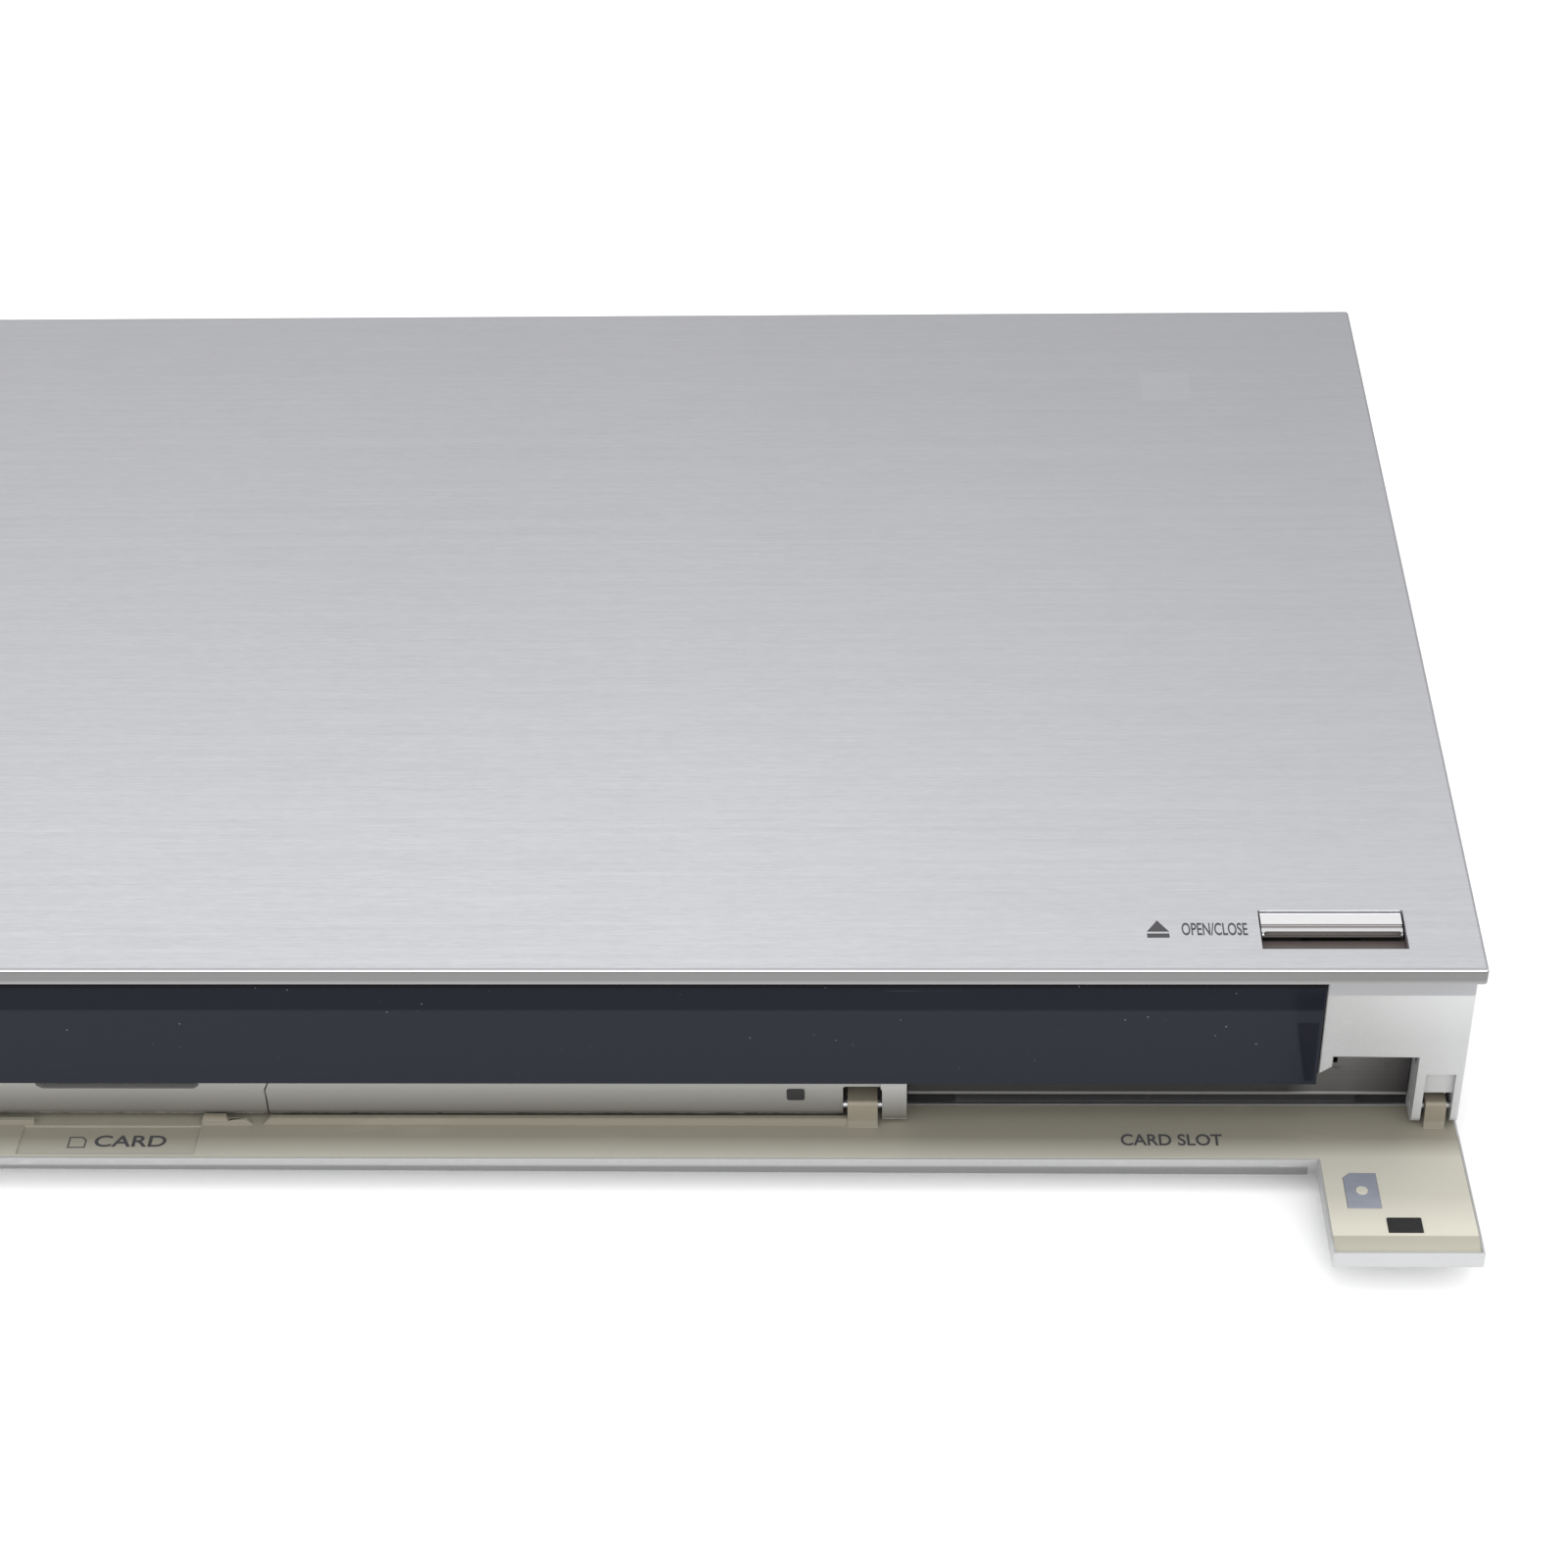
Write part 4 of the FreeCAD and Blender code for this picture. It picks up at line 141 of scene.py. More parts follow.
def spot(x, y, z):
    """A place given in millimetres from the middle, the plate's front lip and the floor."""
    return Vector((x * MILLI, FRONT + y * MILLI, z * MILLI))


def take(piece):
    """Selects one piece alone and makes it the active one."""
    bpy.ops.object.select_all(action="DESELECT")
    piece.select_set(True)
    bpy.context.view_layer.objects.active = piece
    return piece


def rename(piece, name):
    piece.name = piece.data.name = name
    return piece


def named(name):
    """Names the new active piece and puts its place into its mesh."""
    piece = rename(bpy.context.object, name)
    bpy.ops.object.transform_apply(location=True, rotation=True, scale=True)
    return piece


def start_block(name, low, high):
    """A block between two corners."""
    low, high = Vector(low), Vector(high)
    bpy.ops.object.select_all(action="DESELECT")
    bpy.ops.mesh.primitive_cube_add(size=1, location=(low + high) / 2, scale=high - low)
    return named(name)


def start_rod(name, axis, start, radius, reach, sides=32):
    """A round rod that runs along an axis from the middle of its first end."""
    turn = {"X": (0, pi / 2, 0), "Y": (pi / 2, 0, 0), "Z": (0, 0, 0)}[axis]
    middle = Vector(start) + Vector([reach / 2 * (axis == each) for each in "XYZ"])
    bpy.ops.object.select_all(action="DESELECT")
    bpy.ops.mesh.primitive_cylinder_add(vertices=sides, radius=radius, depth=reach, rotation=turn,
                                        location=middle)
    return named(name)


def hinge_rod(name, start, reach, radius):
    """A rod on the hinge axis of the open flap."""
    return start_rod(name, "X", (start, HINGE.y, HINGE.z), radius, reach)


def start_prism(name, corners, axis, start, end):
    """A flat outline of corners, drawn across an axis and extruded along it."""
    bpy.ops.object.select_all(action="DESELECT")
    bpy.ops.mesh.primitive_circle_add(vertices=len(corners), radius=0.01, fill_type="NGON")
    piece = named(name)
    order = {"X": (2, 0, 1), "Y": (0, 2, 1), "Z": (0, 1, 2)}[axis]
    for vertex, (across, up) in zip(piece.data.vertices, corners):
        values = (across, up, start)
        vertex.co = [values[slot] for slot in order]
    step = Vector([(0, 0, end - start)[slot] for slot in order])
    with shaping(piece):
        bpy.ops.mesh.select_all(action="SELECT")
        bpy.ops.mesh.extrude_region_move(TRANSFORM_OT_translate={"value": step})
        bpy.ops.mesh.select_all(action="SELECT")
        bpy.ops.mesh.normals_make_consistent(inside=False)
    return piece


class shaping:
    """Keeps one piece in edit mode for as long as it is being shaped."""

    def __init__(self, piece):
        self.piece = piece

    def __enter__(self):
        take(self.piece)
        bpy.ops.object.mode_set(mode="EDIT")

    def __exit__(self, kind, value, trace):
        bpy.ops.object.mode_set(mode="OBJECT")


def near(value, wanted):
    return abs(value - wanted) < SLACK


def facing(axis, side=1):
    """Test for faces that look along an axis."""
    return lambda middle, normal: normal["XYZ".index(axis)] * side > 0.9


def edge_at(along=None, **places):
    """Test for edges that run along an axis and whose middle lies at the given x, y and z."""
    def test(middle, direction):
        return ((along is None or abs(direction["XYZ".index(along)]) > 0.9)
                and all(near(getattr(middle, axis), place) for axis, place in places.items()))
    return test


def choose(piece, kind, test, least_angle=0.0):
    """Selects, in edit mode, the faces, edges or corners that pass a test of middle and direction."""
    bpy.ops.mesh.select_mode(type=kind)
    bpy.ops.mesh.select_all(action="DESELECT")
    mesh = bmesh.from_edit_mesh(piece.data)
    mesh.normal_update()
    found = 0
    for item in {"FACE": mesh.faces, "EDGE": mesh.edges, "VERT": mesh.verts}[kind]:
        if kind == "FACE":
            middle, direction = item.calc_center_median(), item.normal
        elif kind == "EDGE":
            middle = (item.verts[0].co + item.verts[1].co) / 2
            direction = (item.verts[1].co - item.verts[0].co).normalized()
            if item.calc_face_angle(pi) < least_angle:
                continue
        else:
            middle, direction = item.co, item.normal
        if test(middle, direction):
            item.select_set(True)
            found += 1
    if not found:
        raise RuntimeError(f"{piece.name} has nothing to choose here")
    mesh.select_flush_mode()
    bmesh.update_edit_mesh(piece.data)


def bevel_edges(piece, test, width, segments=3):
    """Bevels the edges that pass a test and aren't flat."""
    with shaping(piece):
        choose(piece, "EDGE", test, radians(5))
        bpy.ops.mesh.bevel(offset=width, offset_type="OFFSET", segments=segments, affect="EDGES")


def sink_face(piece, test, border, depth):
    """Insets the faces that pass a test by a border and pushes the inner part in along its normal."""
    with shaping(piece):
        choose(piece, "FACE", test)
        bpy.ops.mesh.inset(thickness=border, depth=0)
        bpy.ops.mesh.extrude_region_shrink_fatten(TRANSFORM_OT_shrink_fatten={"value": -depth})


def raise_face(piece, test, *steps):
    """Insets the faces that pass a test by each border in turn, and lifts what is left by each height."""
    with shaping(piece):
        choose(piece, "FACE", test)
        for border, height in steps:
            bpy.ops.mesh.inset(thickness=border, depth=height)


def move_corners(piece, test, step):
    """Moves the corners that pass a test."""
    with shaping(piece):
        choose(piece, "VERT", test)
        bpy.ops.transform.translate(value=step)


def bisect(piece, middle, normal):
    """Cuts a ring of edges round a piece, without parting it."""
    with shaping(piece):
        bpy.ops.mesh.select_all(action="SELECT")
        bpy.ops.mesh.bisect(plane_co=middle, plane_no=normal)


def volume(piece):
    """Volume that a closed piece fills."""
    mesh = bmesh.new()
    mesh.from_mesh(piece.data)
    filled = mesh.calc_volume()
    mesh.free()
    return filled


def apply_boolean(piece, other, operation):
    """Works another solid into a piece, drops that other solid, and reports a result that can't be right."""
    before, extra = volume(piece), volume(other)
    for solid in (piece, other):
        solid.data.transform(Matrix.Scale(1 / MILLI, 4))
    with shaping(piece):
        bpy.ops.mesh.select_all(action="SELECT")
        bpy.ops.mesh.remove_doubles(threshold=0.0005)
        bpy.ops.mesh.quads_convert_to_tris()
    change = piece.modifiers.new(operation.title(), "BOOLEAN")
    change.operation = operation
    change.solver = "EXACT"
    change.object = other
    bpy.ops.object.modifier_apply(modifier=change.name)
    with shaping(piece):
        bpy.ops.mesh.select_all(action="SELECT")
        bpy.ops.mesh.dissolve_limited(angle_limit=radians(0.5))
    piece.data.transform(Matrix.Scale(MILLI, 4))
    least, most = (before - extra, before) if operation == "DIFFERENCE" else (before, before + extra)
    slack = before * 0.002
    if not least - slack < volume(piece) < most + slack:
        raise RuntimeError(f"{piece.name} came out wrong: {before} and {extra} gave {volume(piece)}")
    bpy.data.objects.remove(other)


def carve(piece, *others):
    for other in others:
        apply_boolean(piece, other, "DIFFERENCE")


def unite(piece, *others):
    for other in others:
        apply_boolean(piece, other, "UNION")


def carve_block(piece, low, high):
    carve(piece, start_block("cutter", low, high))


def join(name, pieces):
    """Joins separate solids into one piece."""
    bpy.ops.object.select_all(action="DESELECT")
    for piece in pieces:
        piece.select_set(True)
    bpy.context.view_layer.objects.active = pieces[0]
    bpy.ops.object.join()
    return rename(pieces[0], name)


def repeat(piece, *steps):
    """Copies a piece, each copy with its own mesh, at each of the steps."""
    copies = []
    for step in steps:
        copy = piece.copy()
        copy.data = piece.data.copy()
        bpy.context.collection.objects.link(copy)
        copy.data.transform(Matrix.Translation(step))
        copies.append(copy)
    return copies


def soften(piece, width, angle=30, segments=2):
    """Rounds the sharp edges of a finished shape, cleans its mesh, and shades it smoothly."""
    take(piece)
    if width > 0:
        change = piece.modifiers.new("Soft edges", "BEVEL")
        change.width = width
        change.segments = segments
        change.limit_method = "ANGLE"
        change.angle_limit = radians(angle)
        change.use_clamp_overlap = True
        change.harden_normals = False
        bpy.ops.object.modifier_apply(modifier=change.name)
    with shaping(piece):
        bpy.ops.mesh.select_mode(type="VERT")
        bpy.ops.mesh.select_all(action="SELECT")
        bpy.ops.mesh.remove_doubles(threshold=0.000002)
        bpy.ops.mesh.dissolve_degenerate(threshold=0.000002)
        bpy.ops.mesh.delete_loose()
        bpy.ops.mesh.select_all(action="SELECT")
        bpy.ops.mesh.normals_make_consistent(inside=False)
    bpy.ops.object.shade_smooth_by_angle(angle=radians(40))
    flat = piece.modifiers.new("Flat faces", "WEIGHTED_NORMAL")
    flat.keep_sharp = True
    flat.weight = 90
    bpy.ops.object.modifier_apply(modifier=flat.name)
    return piece


def swing_open(piece):
    """Swings a piece that was built shut, round the hinge axis at the origin, to the open flap."""
    take(piece)
    piece.rotation_euler = (FLAP_OPEN, 0, 0)
    piece.location = HINGE
    bpy.ops.object.transform_apply(location=True, rotation=True, scale=True)
    return piece


def settle(piece, body, slot, *nodes, finish=None):
    """Gives a piece the finish of its slot, or the finish given, lets it ride on a body, and hides the nodes that
    it stands for.
    """
    piece.data.materials.clear()
    piece.data.materials.append(finish_of(finish or slot))
    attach(piece, body)
    if nodes:
        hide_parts(*nodes)
    return piece


# Finishes

def operation(kind, flipped=False):
    """An arithmetic operator of material values."""
    return lambda self, other: self.maths(kind, other, self) if flipped else self.maths(kind, self, other)


class Value:
    """One socket of a material, used in plain arithmetic."""

    def __init__(self, nodes, socket):
        self.nodes = nodes
        self.socket = socket

    def maths(self, kind, *others):
        return self.nodes.node("ShaderNodeMath", {"operation": kind}, dict(enumerate(others)))

    __add__, __radd__ = operation("ADD"), operation("ADD", flipped=True)
    __sub__, __rsub__ = operation("SUBTRACT"), operation("SUBTRACT", flipped=True)
    __mul__, __rmul__ = operation("MULTIPLY"), operation("MULTIPLY", flipped=True)
    __gt__, __lt__ = operation("GREATER_THAN"), operation("LESS_THAN")

    def __abs__(self):
        return self.maths("ABSOLUTE", self)

    def fract(self):
        return self.maths("FRACT", self)

    def clamped(self):
        return self.nodes.node("ShaderNodeClamp", {}, {0: self})

    def ramp(self, low, high, first=0.0, last=1.0):
        """Turns the range from low to high into a range from first to last, and stops at its ends."""
        return self.nodes.node("ShaderNodeMapRange", {"clamp": True},
                               {"Value": self, 1: low, 2: high, 3: first, 4: last})

    def fall(self, low, high):
        """1 below low, 0 above high."""
        return self.ramp(low, high, 1.0, 0.0)

    def band(self, low, high, soft=0.00005):
        """1 between low and high, with soft ends."""
        return self.ramp(low - soft, low + soft) * self.fall(high - soft, high + soft)


class Nodes:
    """The nodes of one tree, made one after another."""

    def __init__(self, owner):
        owner.use_nodes = True
        self.tree = owner.node_tree
        self.tree.nodes.clear()

    def node(self, kind, settings, inputs, output=0):
        """Adds a node of a type with its settings, then the values or links of its sockets."""
        made = self.tree.nodes.new(kind)
        for name, value in settings.items():
            setattr(made, name, value)
        for name, value in inputs.items():
            if isinstance(value, Value):
                self.tree.links.new(value.socket, made.inputs[name])
            else:
                made.inputs[name].default_value = value
        return Value(self, made.outputs[output]) if made.outputs else None


class Paint(Nodes):
    """The nodes of one material, in the coordinates of its object."""

    def __init__(self, name):
        self.material = bpy.data.materials.new(name)
        super().__init__(self.material)
        self.place = self.node("ShaderNodeTexCoord", {}, {}, "Object")
        split = self.node("ShaderNodeSeparateXYZ", {}, {0: self.place})
        self.x, self.y, self.z = (Value(self, output) for output in split.socket.node.outputs)

    def mix(self, factor, first, second):
        """A colour between two, by a factor."""
        first, second = (tint if isinstance(tint, Value) else (*tint, 1) for tint in (first, second))
        return self.node("ShaderNodeMix", {"data_type": "RGBA", "blend_type": "MIX", "clamp_result": True},
                         {0: factor, 6: first, 7: second}, 2)

    def over(self, base, *layers):
        """Lays colours over a base in turn, each by its own factor."""
        for factor, tint in layers:
            base = self.mix(factor, base, tint)
        return base

    def tone(self, tint, value, amount):
        """Lets a value between 0 and 1 lighten and darken a colour by an amount."""
        dark = [channel * (1 - amount) for channel in tint]
        light = [min(channel * (1 + amount), 1.0) for channel in tint]
        return self.mix(value, dark, light)

    def stretched(self, stretch):
        return self.node("ShaderNodeMapping", {"vector_type": "POINT"},
                         {"Vector": self.place, "Scale": stretch})

    def noise(self, scale, detail=2.0, roughness=0.5, stretch=(1, 1, 1)):
        """Soft noise between 0 and 1, with its scale in cells per metre."""
        return self.node("ShaderNodeTexNoise", {"noise_dimensions": "3D"},
                         {"Vector": self.stretched(stretch), "Scale": scale, "Detail": detail,
                          "Roughness": roughness})

    def strokes(self, x, y, z, detail=2.0, roughness=0.5):
        """Soft noise with its own cells per metre along each axis."""
        return self.noise(1.0, detail, roughness, (x, y, z))

    def cells(self, scale, output="Distance", stretch=(1, 1, 1)):
        """Cell pattern, with its scale in cells per metre."""
        return self.node("ShaderNodeTexVoronoi", {"feature": "F1"},
                         {"Vector": self.stretched(stretch), "Scale": scale, "Randomness": 1.0}, output)

    def flakes(self, scale, stretch=(1, 1, 1)):
        """A random value between 0 and 1 for each cell."""
        return self.node("ShaderNodeSeparateColor", {}, {0: self.cells(scale, "Color", stretch)})

    def away(self, middle):
        """Distance from a place."""
        return self.node("ShaderNodeVectorMath", {"operation": "DISTANCE"}, {0: self.place, 1: middle},
                         "Value")

    def finish(self, base, roughness, metallic, height, strength, distance, **constants):
        """Ends the material in one shader, with a bump of a height, and returns it."""
        inputs = {name.replace("_", " "): value for name, value in constants.items()}
        inputs["Normal"] = self.node("ShaderNodeBump", {}, {"Height": height, "Strength": strength,
                                                            "Distance": distance})
        inputs |= {"Base Color": base, "Roughness": roughness, "Metallic": metallic}
        shader = self.node("ShaderNodeBsdfPrincipled", {}, inputs)
        self.node("ShaderNodeOutputMaterial", {}, {"Surface": shader})
        return self.material


def brushed_plate():
    paint = Paint("Brushed plate")
    hair, stroke = paint.strokes(60, 5200, 5200, 3.0, 0.7), paint.strokes(420, 3600, 3600, 2.0, 0.6)
    streak, cloud = paint.strokes(9, 900, 900, 2.0, 0.6), paint.noise(12.0)
    shade = (hair * 0.35 + stroke * 0.35 + streak * 0.2 + cloud * 0.1).ramp(0.32, 0.68)
    patch = paint.x.band(0.1755, 0.1842, 0.0002) * paint.y.band(FRONT + 0.1485, FRONT + 0.1576, 0.0002)
    # Painted light and shade along the front edge: a painted highlight line on the rounded edge, painted shade on
    # the edge's lower part, and the lip's face painted darker as shade with a painted highlight along its lower
    # edge. The top also gets a darker band along the edge.
    front = paint.y < FRONT + 0.0006
    line = front * paint.z.band(0.04078, 0.04093, 0.00003)
    bevel_shade = front * paint.z.band(0.04060, 0.04077, 0.00003)
    lip = front * paint.z.ramp(0.04062, 0.04057)
    lower_edge_highlight = paint.z.ramp(0.0392, 0.0385) * 0.8
    plate = paint.over(paint.tone(colours().brushed, shade, 0.12),
                       # Painted shade: the plate darkens towards the rear and towards the right.
                       (paint.y.ramp(FRONT + 0.03, FRONT + 0.17) * 0.4, (0.4, 0.4, 0.425)),
                       (paint.x.ramp(0.1, 0.2) * 0.25, (0.4, 0.405, 0.425)),
                       (patch * 0.09, (0.75, 0.75, 0.77)),
                       (front * paint.z.ramp(0.04092, 0.04095) * 0.6, (0.36, 0.36, 0.38)),
                       (lip, paint.mix(lower_edge_highlight, (0.185, 0.185, 0.183), (0.33, 0.33, 0.33))),
                       (bevel_shade, (0.05, 0.05, 0.05)), (line, (0.95, 0.95, 0.96)))
    return paint.finish(plate, 0.34 + hair * 0.12 - line * 0.1, 0.82 - lip * 0.3, hair, 0.12, 0.00002)


def painted_cover():
    paint = Paint("Painted cover")
    peel, cloud = paint.noise(1500.0, 3.0), paint.noise(18.0)
    dust = paint.cells(420.0).fall(0.02, 0.07) * paint.noise(60.0).ramp(0.5, 0.62)
    base = paint.mix(dust * 0.35, paint.tone(colours().cover, cloud, 0.06), (0.5, 0.5, 0.5))
    return paint.finish(base, 0.42 + cloud * 0.1, 0.35, peel, 0.2, 0.00003)


def zinc_sheet():
    paint = Paint("Zinc sheet")
    spangle, rolled, cloud = paint.flakes(220.0), paint.strokes(30, 2600, 30), paint.noise(25.0)
    shade = (spangle * 0.2 + rolled * 0.5 + cloud * 0.3).ramp(0.2, 0.8)
    return paint.finish(paint.tone(colours().zinc, shade, 0.1), 0.3 + rolled * 0.1 + spangle * 0.06, 0.9,
                        rolled, 0.08, 0.00002)


def bay_metal():
    """Brushed sheet of the card bay, with painted shade below the window and towards the bracket, painted shade
    below its hem and a painted highlight along the hem.
    """
    paint = Paint("Bay sheet")
    rolled, cloud = paint.strokes(30, 2600, 2600), paint.noise(60.0, 3.0)
    smudge = paint.strokes(260, 500, 500, 4.0).ramp(0.62, 0.72)
    shade = (rolled * 0.6 + cloud * 0.4).ramp(0.25, 0.75)
    # Painted shade under the window and towards the bracket, lighter in the cut-out between; near-black painted
    # shade below the hem and a painted highlight on it.
    base = paint.over(paint.mix(paint.x.fall(0.1900, 0.1935), (0.26, 0.26, 0.27), (0.105, 0.105, 0.108)),
                      (paint.x.ramp(0.1985, 0.2072), (0.09, 0.087, 0.095)),
                      (shade * 0.35, (0.07, 0.07, 0.07)), (smudge * 0.4, (0.06, 0.055, 0.055)),
                      (paint.z.ramp(0.0081, 0.0079), (0.03, 0.03, 0.032)),
                      (paint.z.band(0.00805, 0.00840, 0.00006), (0.5, 0.5, 0.51)))
    return paint.finish(base, 0.3 + rolled * 0.12, 0.9, rolled, 0.08, 0.00002)


def silver_moulding():
    """End blocks and outer skin of the flap, with painted shade on the strip's chamfer where the open flap lies
    below the recorder, and painted light on the right block's upper right, towards the right near the hinge and at
    the tongue's end.
    """
    paint = Paint("Silver moulding")
    flakes, grain, cloud = paint.flakes(3800.0), paint.noise(2600.0), paint.noise(30.0)
    rubbed = paint.strokes(260, 900, 900, 3.0).ramp(0.62, 0.75)
    # Painted shade on the chamfer along the front edge of the open strip.
    chamfer_shade = (paint.z.ramp(0.0054, 0.0050) * (paint.y < HINGE.y - 0.0085) * (paint.x < 0.192)
             * (paint.y > HINGE.y - 0.0108))
    # Painted light towards the right near the hinge, and at the tongue's end.
    beside = paint.x.ramp(0.198, 0.212) * (paint.y > HINGE.y - 0.004)
    tongue_end_light = paint.y.ramp(HINGE.y - 0.026, HINGE.y - 0.028)
    base = paint.over(paint.tone(colours().silver, (flakes * 0.5 + cloud * 0.5).ramp(0.2, 0.8), 0.035),
                      (rubbed * 0.2, (0.62, 0.62, 0.6)),
                      # The next layer is painted light on the upper right of the right block.
                      (paint.z.ramp(0.0240, 0.0320) * paint.x.ramp(0.190, 0.211), (0.48, 0.485, 0.48)),
                      (chamfer_shade, (0.165, 0.165, 0.165)),
                      ((beside * 0.5 + tongue_end_light * 0.55).clamped(), (0.5, 0.505, 0.515)),
                      (paint.z.ramp(0.0324, 0.0326), (0.31, 0.312, 0.325)))
    return paint.finish(base, 0.36 + flakes * 0.08, 0.12, grain, 0.12, 0.00002, Coat_Weight=0.15,
                        Coat_Roughness=0.25)


def beige_moulding():
    """Lining of the flap, by the distance out from the hinge: painted shade near the hinge and on the arms,
    painted light towards the tongue's end, and a darker tip.
    """
    paint = Paint("Beige moulding")
    grain, cloud, out = paint.noise(2200.0, 3.0), paint.noise(45.0), HINGE.y - paint.y
    # Painted shade on the hinge arms.
    arms = paint.z.ramp(0.0068, 0.0074) * out.fall(0.0045, 0.0050)
    smudge = paint.strokes(70, 240, 240, 3.0).ramp(0.6, 0.72)
    base = paint.over(paint.tone(colours().beige, cloud, 0.04),
                      # Painted light towards the tongue's end, then painted shade near the hinge and on the arms.
                      (out.ramp(0.017, 0.024) * 0.7, (0.64, 0.62, 0.53)),
                      (out.fall(0.0045, 0.0090), (0.25, 0.235, 0.188)), (arms, (0.209, 0.186, 0.142)),
                      (out.ramp(0.02585, 0.02595), (0.40, 0.385, 0.32)), (smudge * 0.12, (0.42, 0.4, 0.34)))
    return paint.finish(base, 0.4 + cloud * 0.12, 0.05, grain, 0.15, 0.00003)


def bar_moulding():
    """Bars, with painted light above their bend, painted shade towards their foot, and a ragged painted highlight
    along their lower edge.
    """
    paint = Paint("Bar moulding")
    flakes, grain, long_grain = paint.flakes(4200.0), paint.noise(2600.0), paint.strokes(25, 700, 700)
    tinted = paint.tone(colours().bar, (flakes * 0.4 + long_grain * 0.6).ramp(0.25, 0.75), 0.07)
    # Painted light and shade: a lighter colour above the bend and a darker one towards the foot, mixed by height.
    upper, lower = paint.mix(0.6, tinted, (0.44, 0.44, 0.427)), paint.mix(0.75, tinted, (0.098, 0.086, 0.068))
    # A ragged painted highlight along the lower edge.
    ragged = paint.strokes(900, 200, 200, 3.0) * 0.0005
    lower_edge_highlight = (paint.z - ragged).fall(0.0066, 0.0071) * paint.strokes(500, 50, 50, 3.0).ramp(0.35, 0.5)
    base = paint.mix(lower_edge_highlight, paint.mix(paint.z.fall(0.0075, 0.0148), upper, lower), (0.72, 0.72, 0.7))
    return paint.finish(base, 0.38 + flakes * 0.1, 0.25, grain, 0.12, 0.00002)


def smoked_sheet():
    paint = Paint("Smoked sheet")
    leaning = paint.x + (paint.z - 0.0217) * 0.165
    behind = leaning.band(0.1903, 0.2) * paint.z.band(0.0158, 0.0275) * (paint.x < 0.1926)
    specks = paint.cells(420.0).fall(0.03, 0.07) * paint.noise(90.0).ramp(0.5, 0.58)
    scratch = paint.strokes(40, 1800, 1800).ramp(0.74, 0.77) * paint.noise(30.0).ramp(0.5, 0.6)
    haze = paint.noise(22.0, 3.0)
    # Painted shade: the window's upper part is darker, and near-black above as the painted shadow of the plate's
    # lip.
    upper = paint.mix(paint.z.ramp(0.0297, 0.0302), colours().smoked, (0.0056, 0.0072, 0.013))
    base = paint.over(upper, (paint.z.ramp(0.0340, 0.0346), (0.0, 0.0, 0.001)),
                      (behind, (0.0075, 0.0088, 0.014)),
                      ((specks * 0.5 + scratch * 0.15).clamped(), (0.3, 0.31, 0.33)))
    return paint.finish(base, 0.1 + haze * 0.07 + specks * 0.3, 0.0, haze, 0.03, 0.0002,
                        Specular_IOR_Level=0.1)


def black_foam():
    paint = Paint("Foam")
    pores, cloud = paint.cells(5200.0), paint.noise(900.0, 3.0)
    base = paint.mix(pores.ramp(0.1, 0.6), (0.004, 0.004, 0.004), (0.014, 0.014, 0.015))
    return paint.finish(base, 0.9, 0.0, pores * 0.7 + cloud * 0.3, 0.7, 0.0001)


def rolled_plate():
    paint = Paint("Rolled plate")
    rolled, cloud = paint.strokes(90, 2600, 2600), paint.noise(420.0, 3.0)
    spots = paint.cells(1500.0).fall(0.05, 0.16) * cloud.ramp(0.55, 0.65)
    plate = paint.tone(colours().catch, rolled * 0.5 + cloud * 0.5, 0.14)
    base = paint.mix(spots * 0.4, plate, (0.15, 0.15, 0.16))
    return paint.finish(base, 0.34 + cloud * 0.15, 0.85, rolled, 0.1, 0.00002)


def mirror_cap():
    """Mirror cap of a key, with painted shade in the hollow below its ridge, and dark sides."""
    paint = Paint("Mirror cap")
    low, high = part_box("eject_button")
    smear, step, ridge = paint.strokes(120, 420, 420, 3.0), key_step(), low.y + 0.0013
    # Painted shade in the hollow between the ridge and the step.
    hollow = paint.mix(paint.y.ramp(ridge, step - 0.0001), (0.4, 0.39, 0.38), (0.1, 0.095, 0.09))
    base = paint.over(paint.tone((0.93, 0.93, 0.94), smear, 0.03),
                      (paint.y.band(ridge, step - 0.00002), hollow),
                      ((paint.z < high.z - 0.0008) * 0.8, (0.08, 0.07, 0.065)))
    return paint.finish(base, 0.05 + smear.ramp(0.45, 0.7) * 0.12, 1.0, smear, 0.02, 0.0001)


def brown_cup():
    paint = Paint("Key cup")
    low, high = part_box("eject_button")
    grain, cloud = paint.noise(2000.0, 3.0), paint.noise(260.0)
    shaded = paint.y.band((low.y + high.y) / 2 - 0.0016, high.y)
    base = paint.mix(shaded, paint.tone((0.085, 0.07, 0.065), cloud, 0.15), (0.012, 0.01, 0.01))
    return paint.finish(base, 0.5 + cloud * 0.1, 0.0, grain, 0.2, 0.00003)


def circuit_board():
    paint = Paint("Circuit board")
    lanes, turns = (abs((place * pitch).fract() - 0.5) < 0.13
                    for place, pitch in ((paint.x, 260), (paint.y, 240)))
    zone, gloss = paint.flakes(46.0, (1, 1, 0.1)), paint.noise(70.0)
    copper = lanes * (zone > 0.5) + turns * (zone < 0.5)
    pads = paint.cells(150.0, stretch=(1, 1, 0.2)).fall(0.07, 0.09)
    tracks = paint.mix(copper.clamped() * 0.7, colours().board, (0.02, 0.14, 0.05))
    base = paint.mix(pads, tracks, (0.55, 0.54, 0.5))
    return paint.finish(base, 0.26 + gloss * 0.15, pads * 0.9, copper, 0.15, 0.00003)


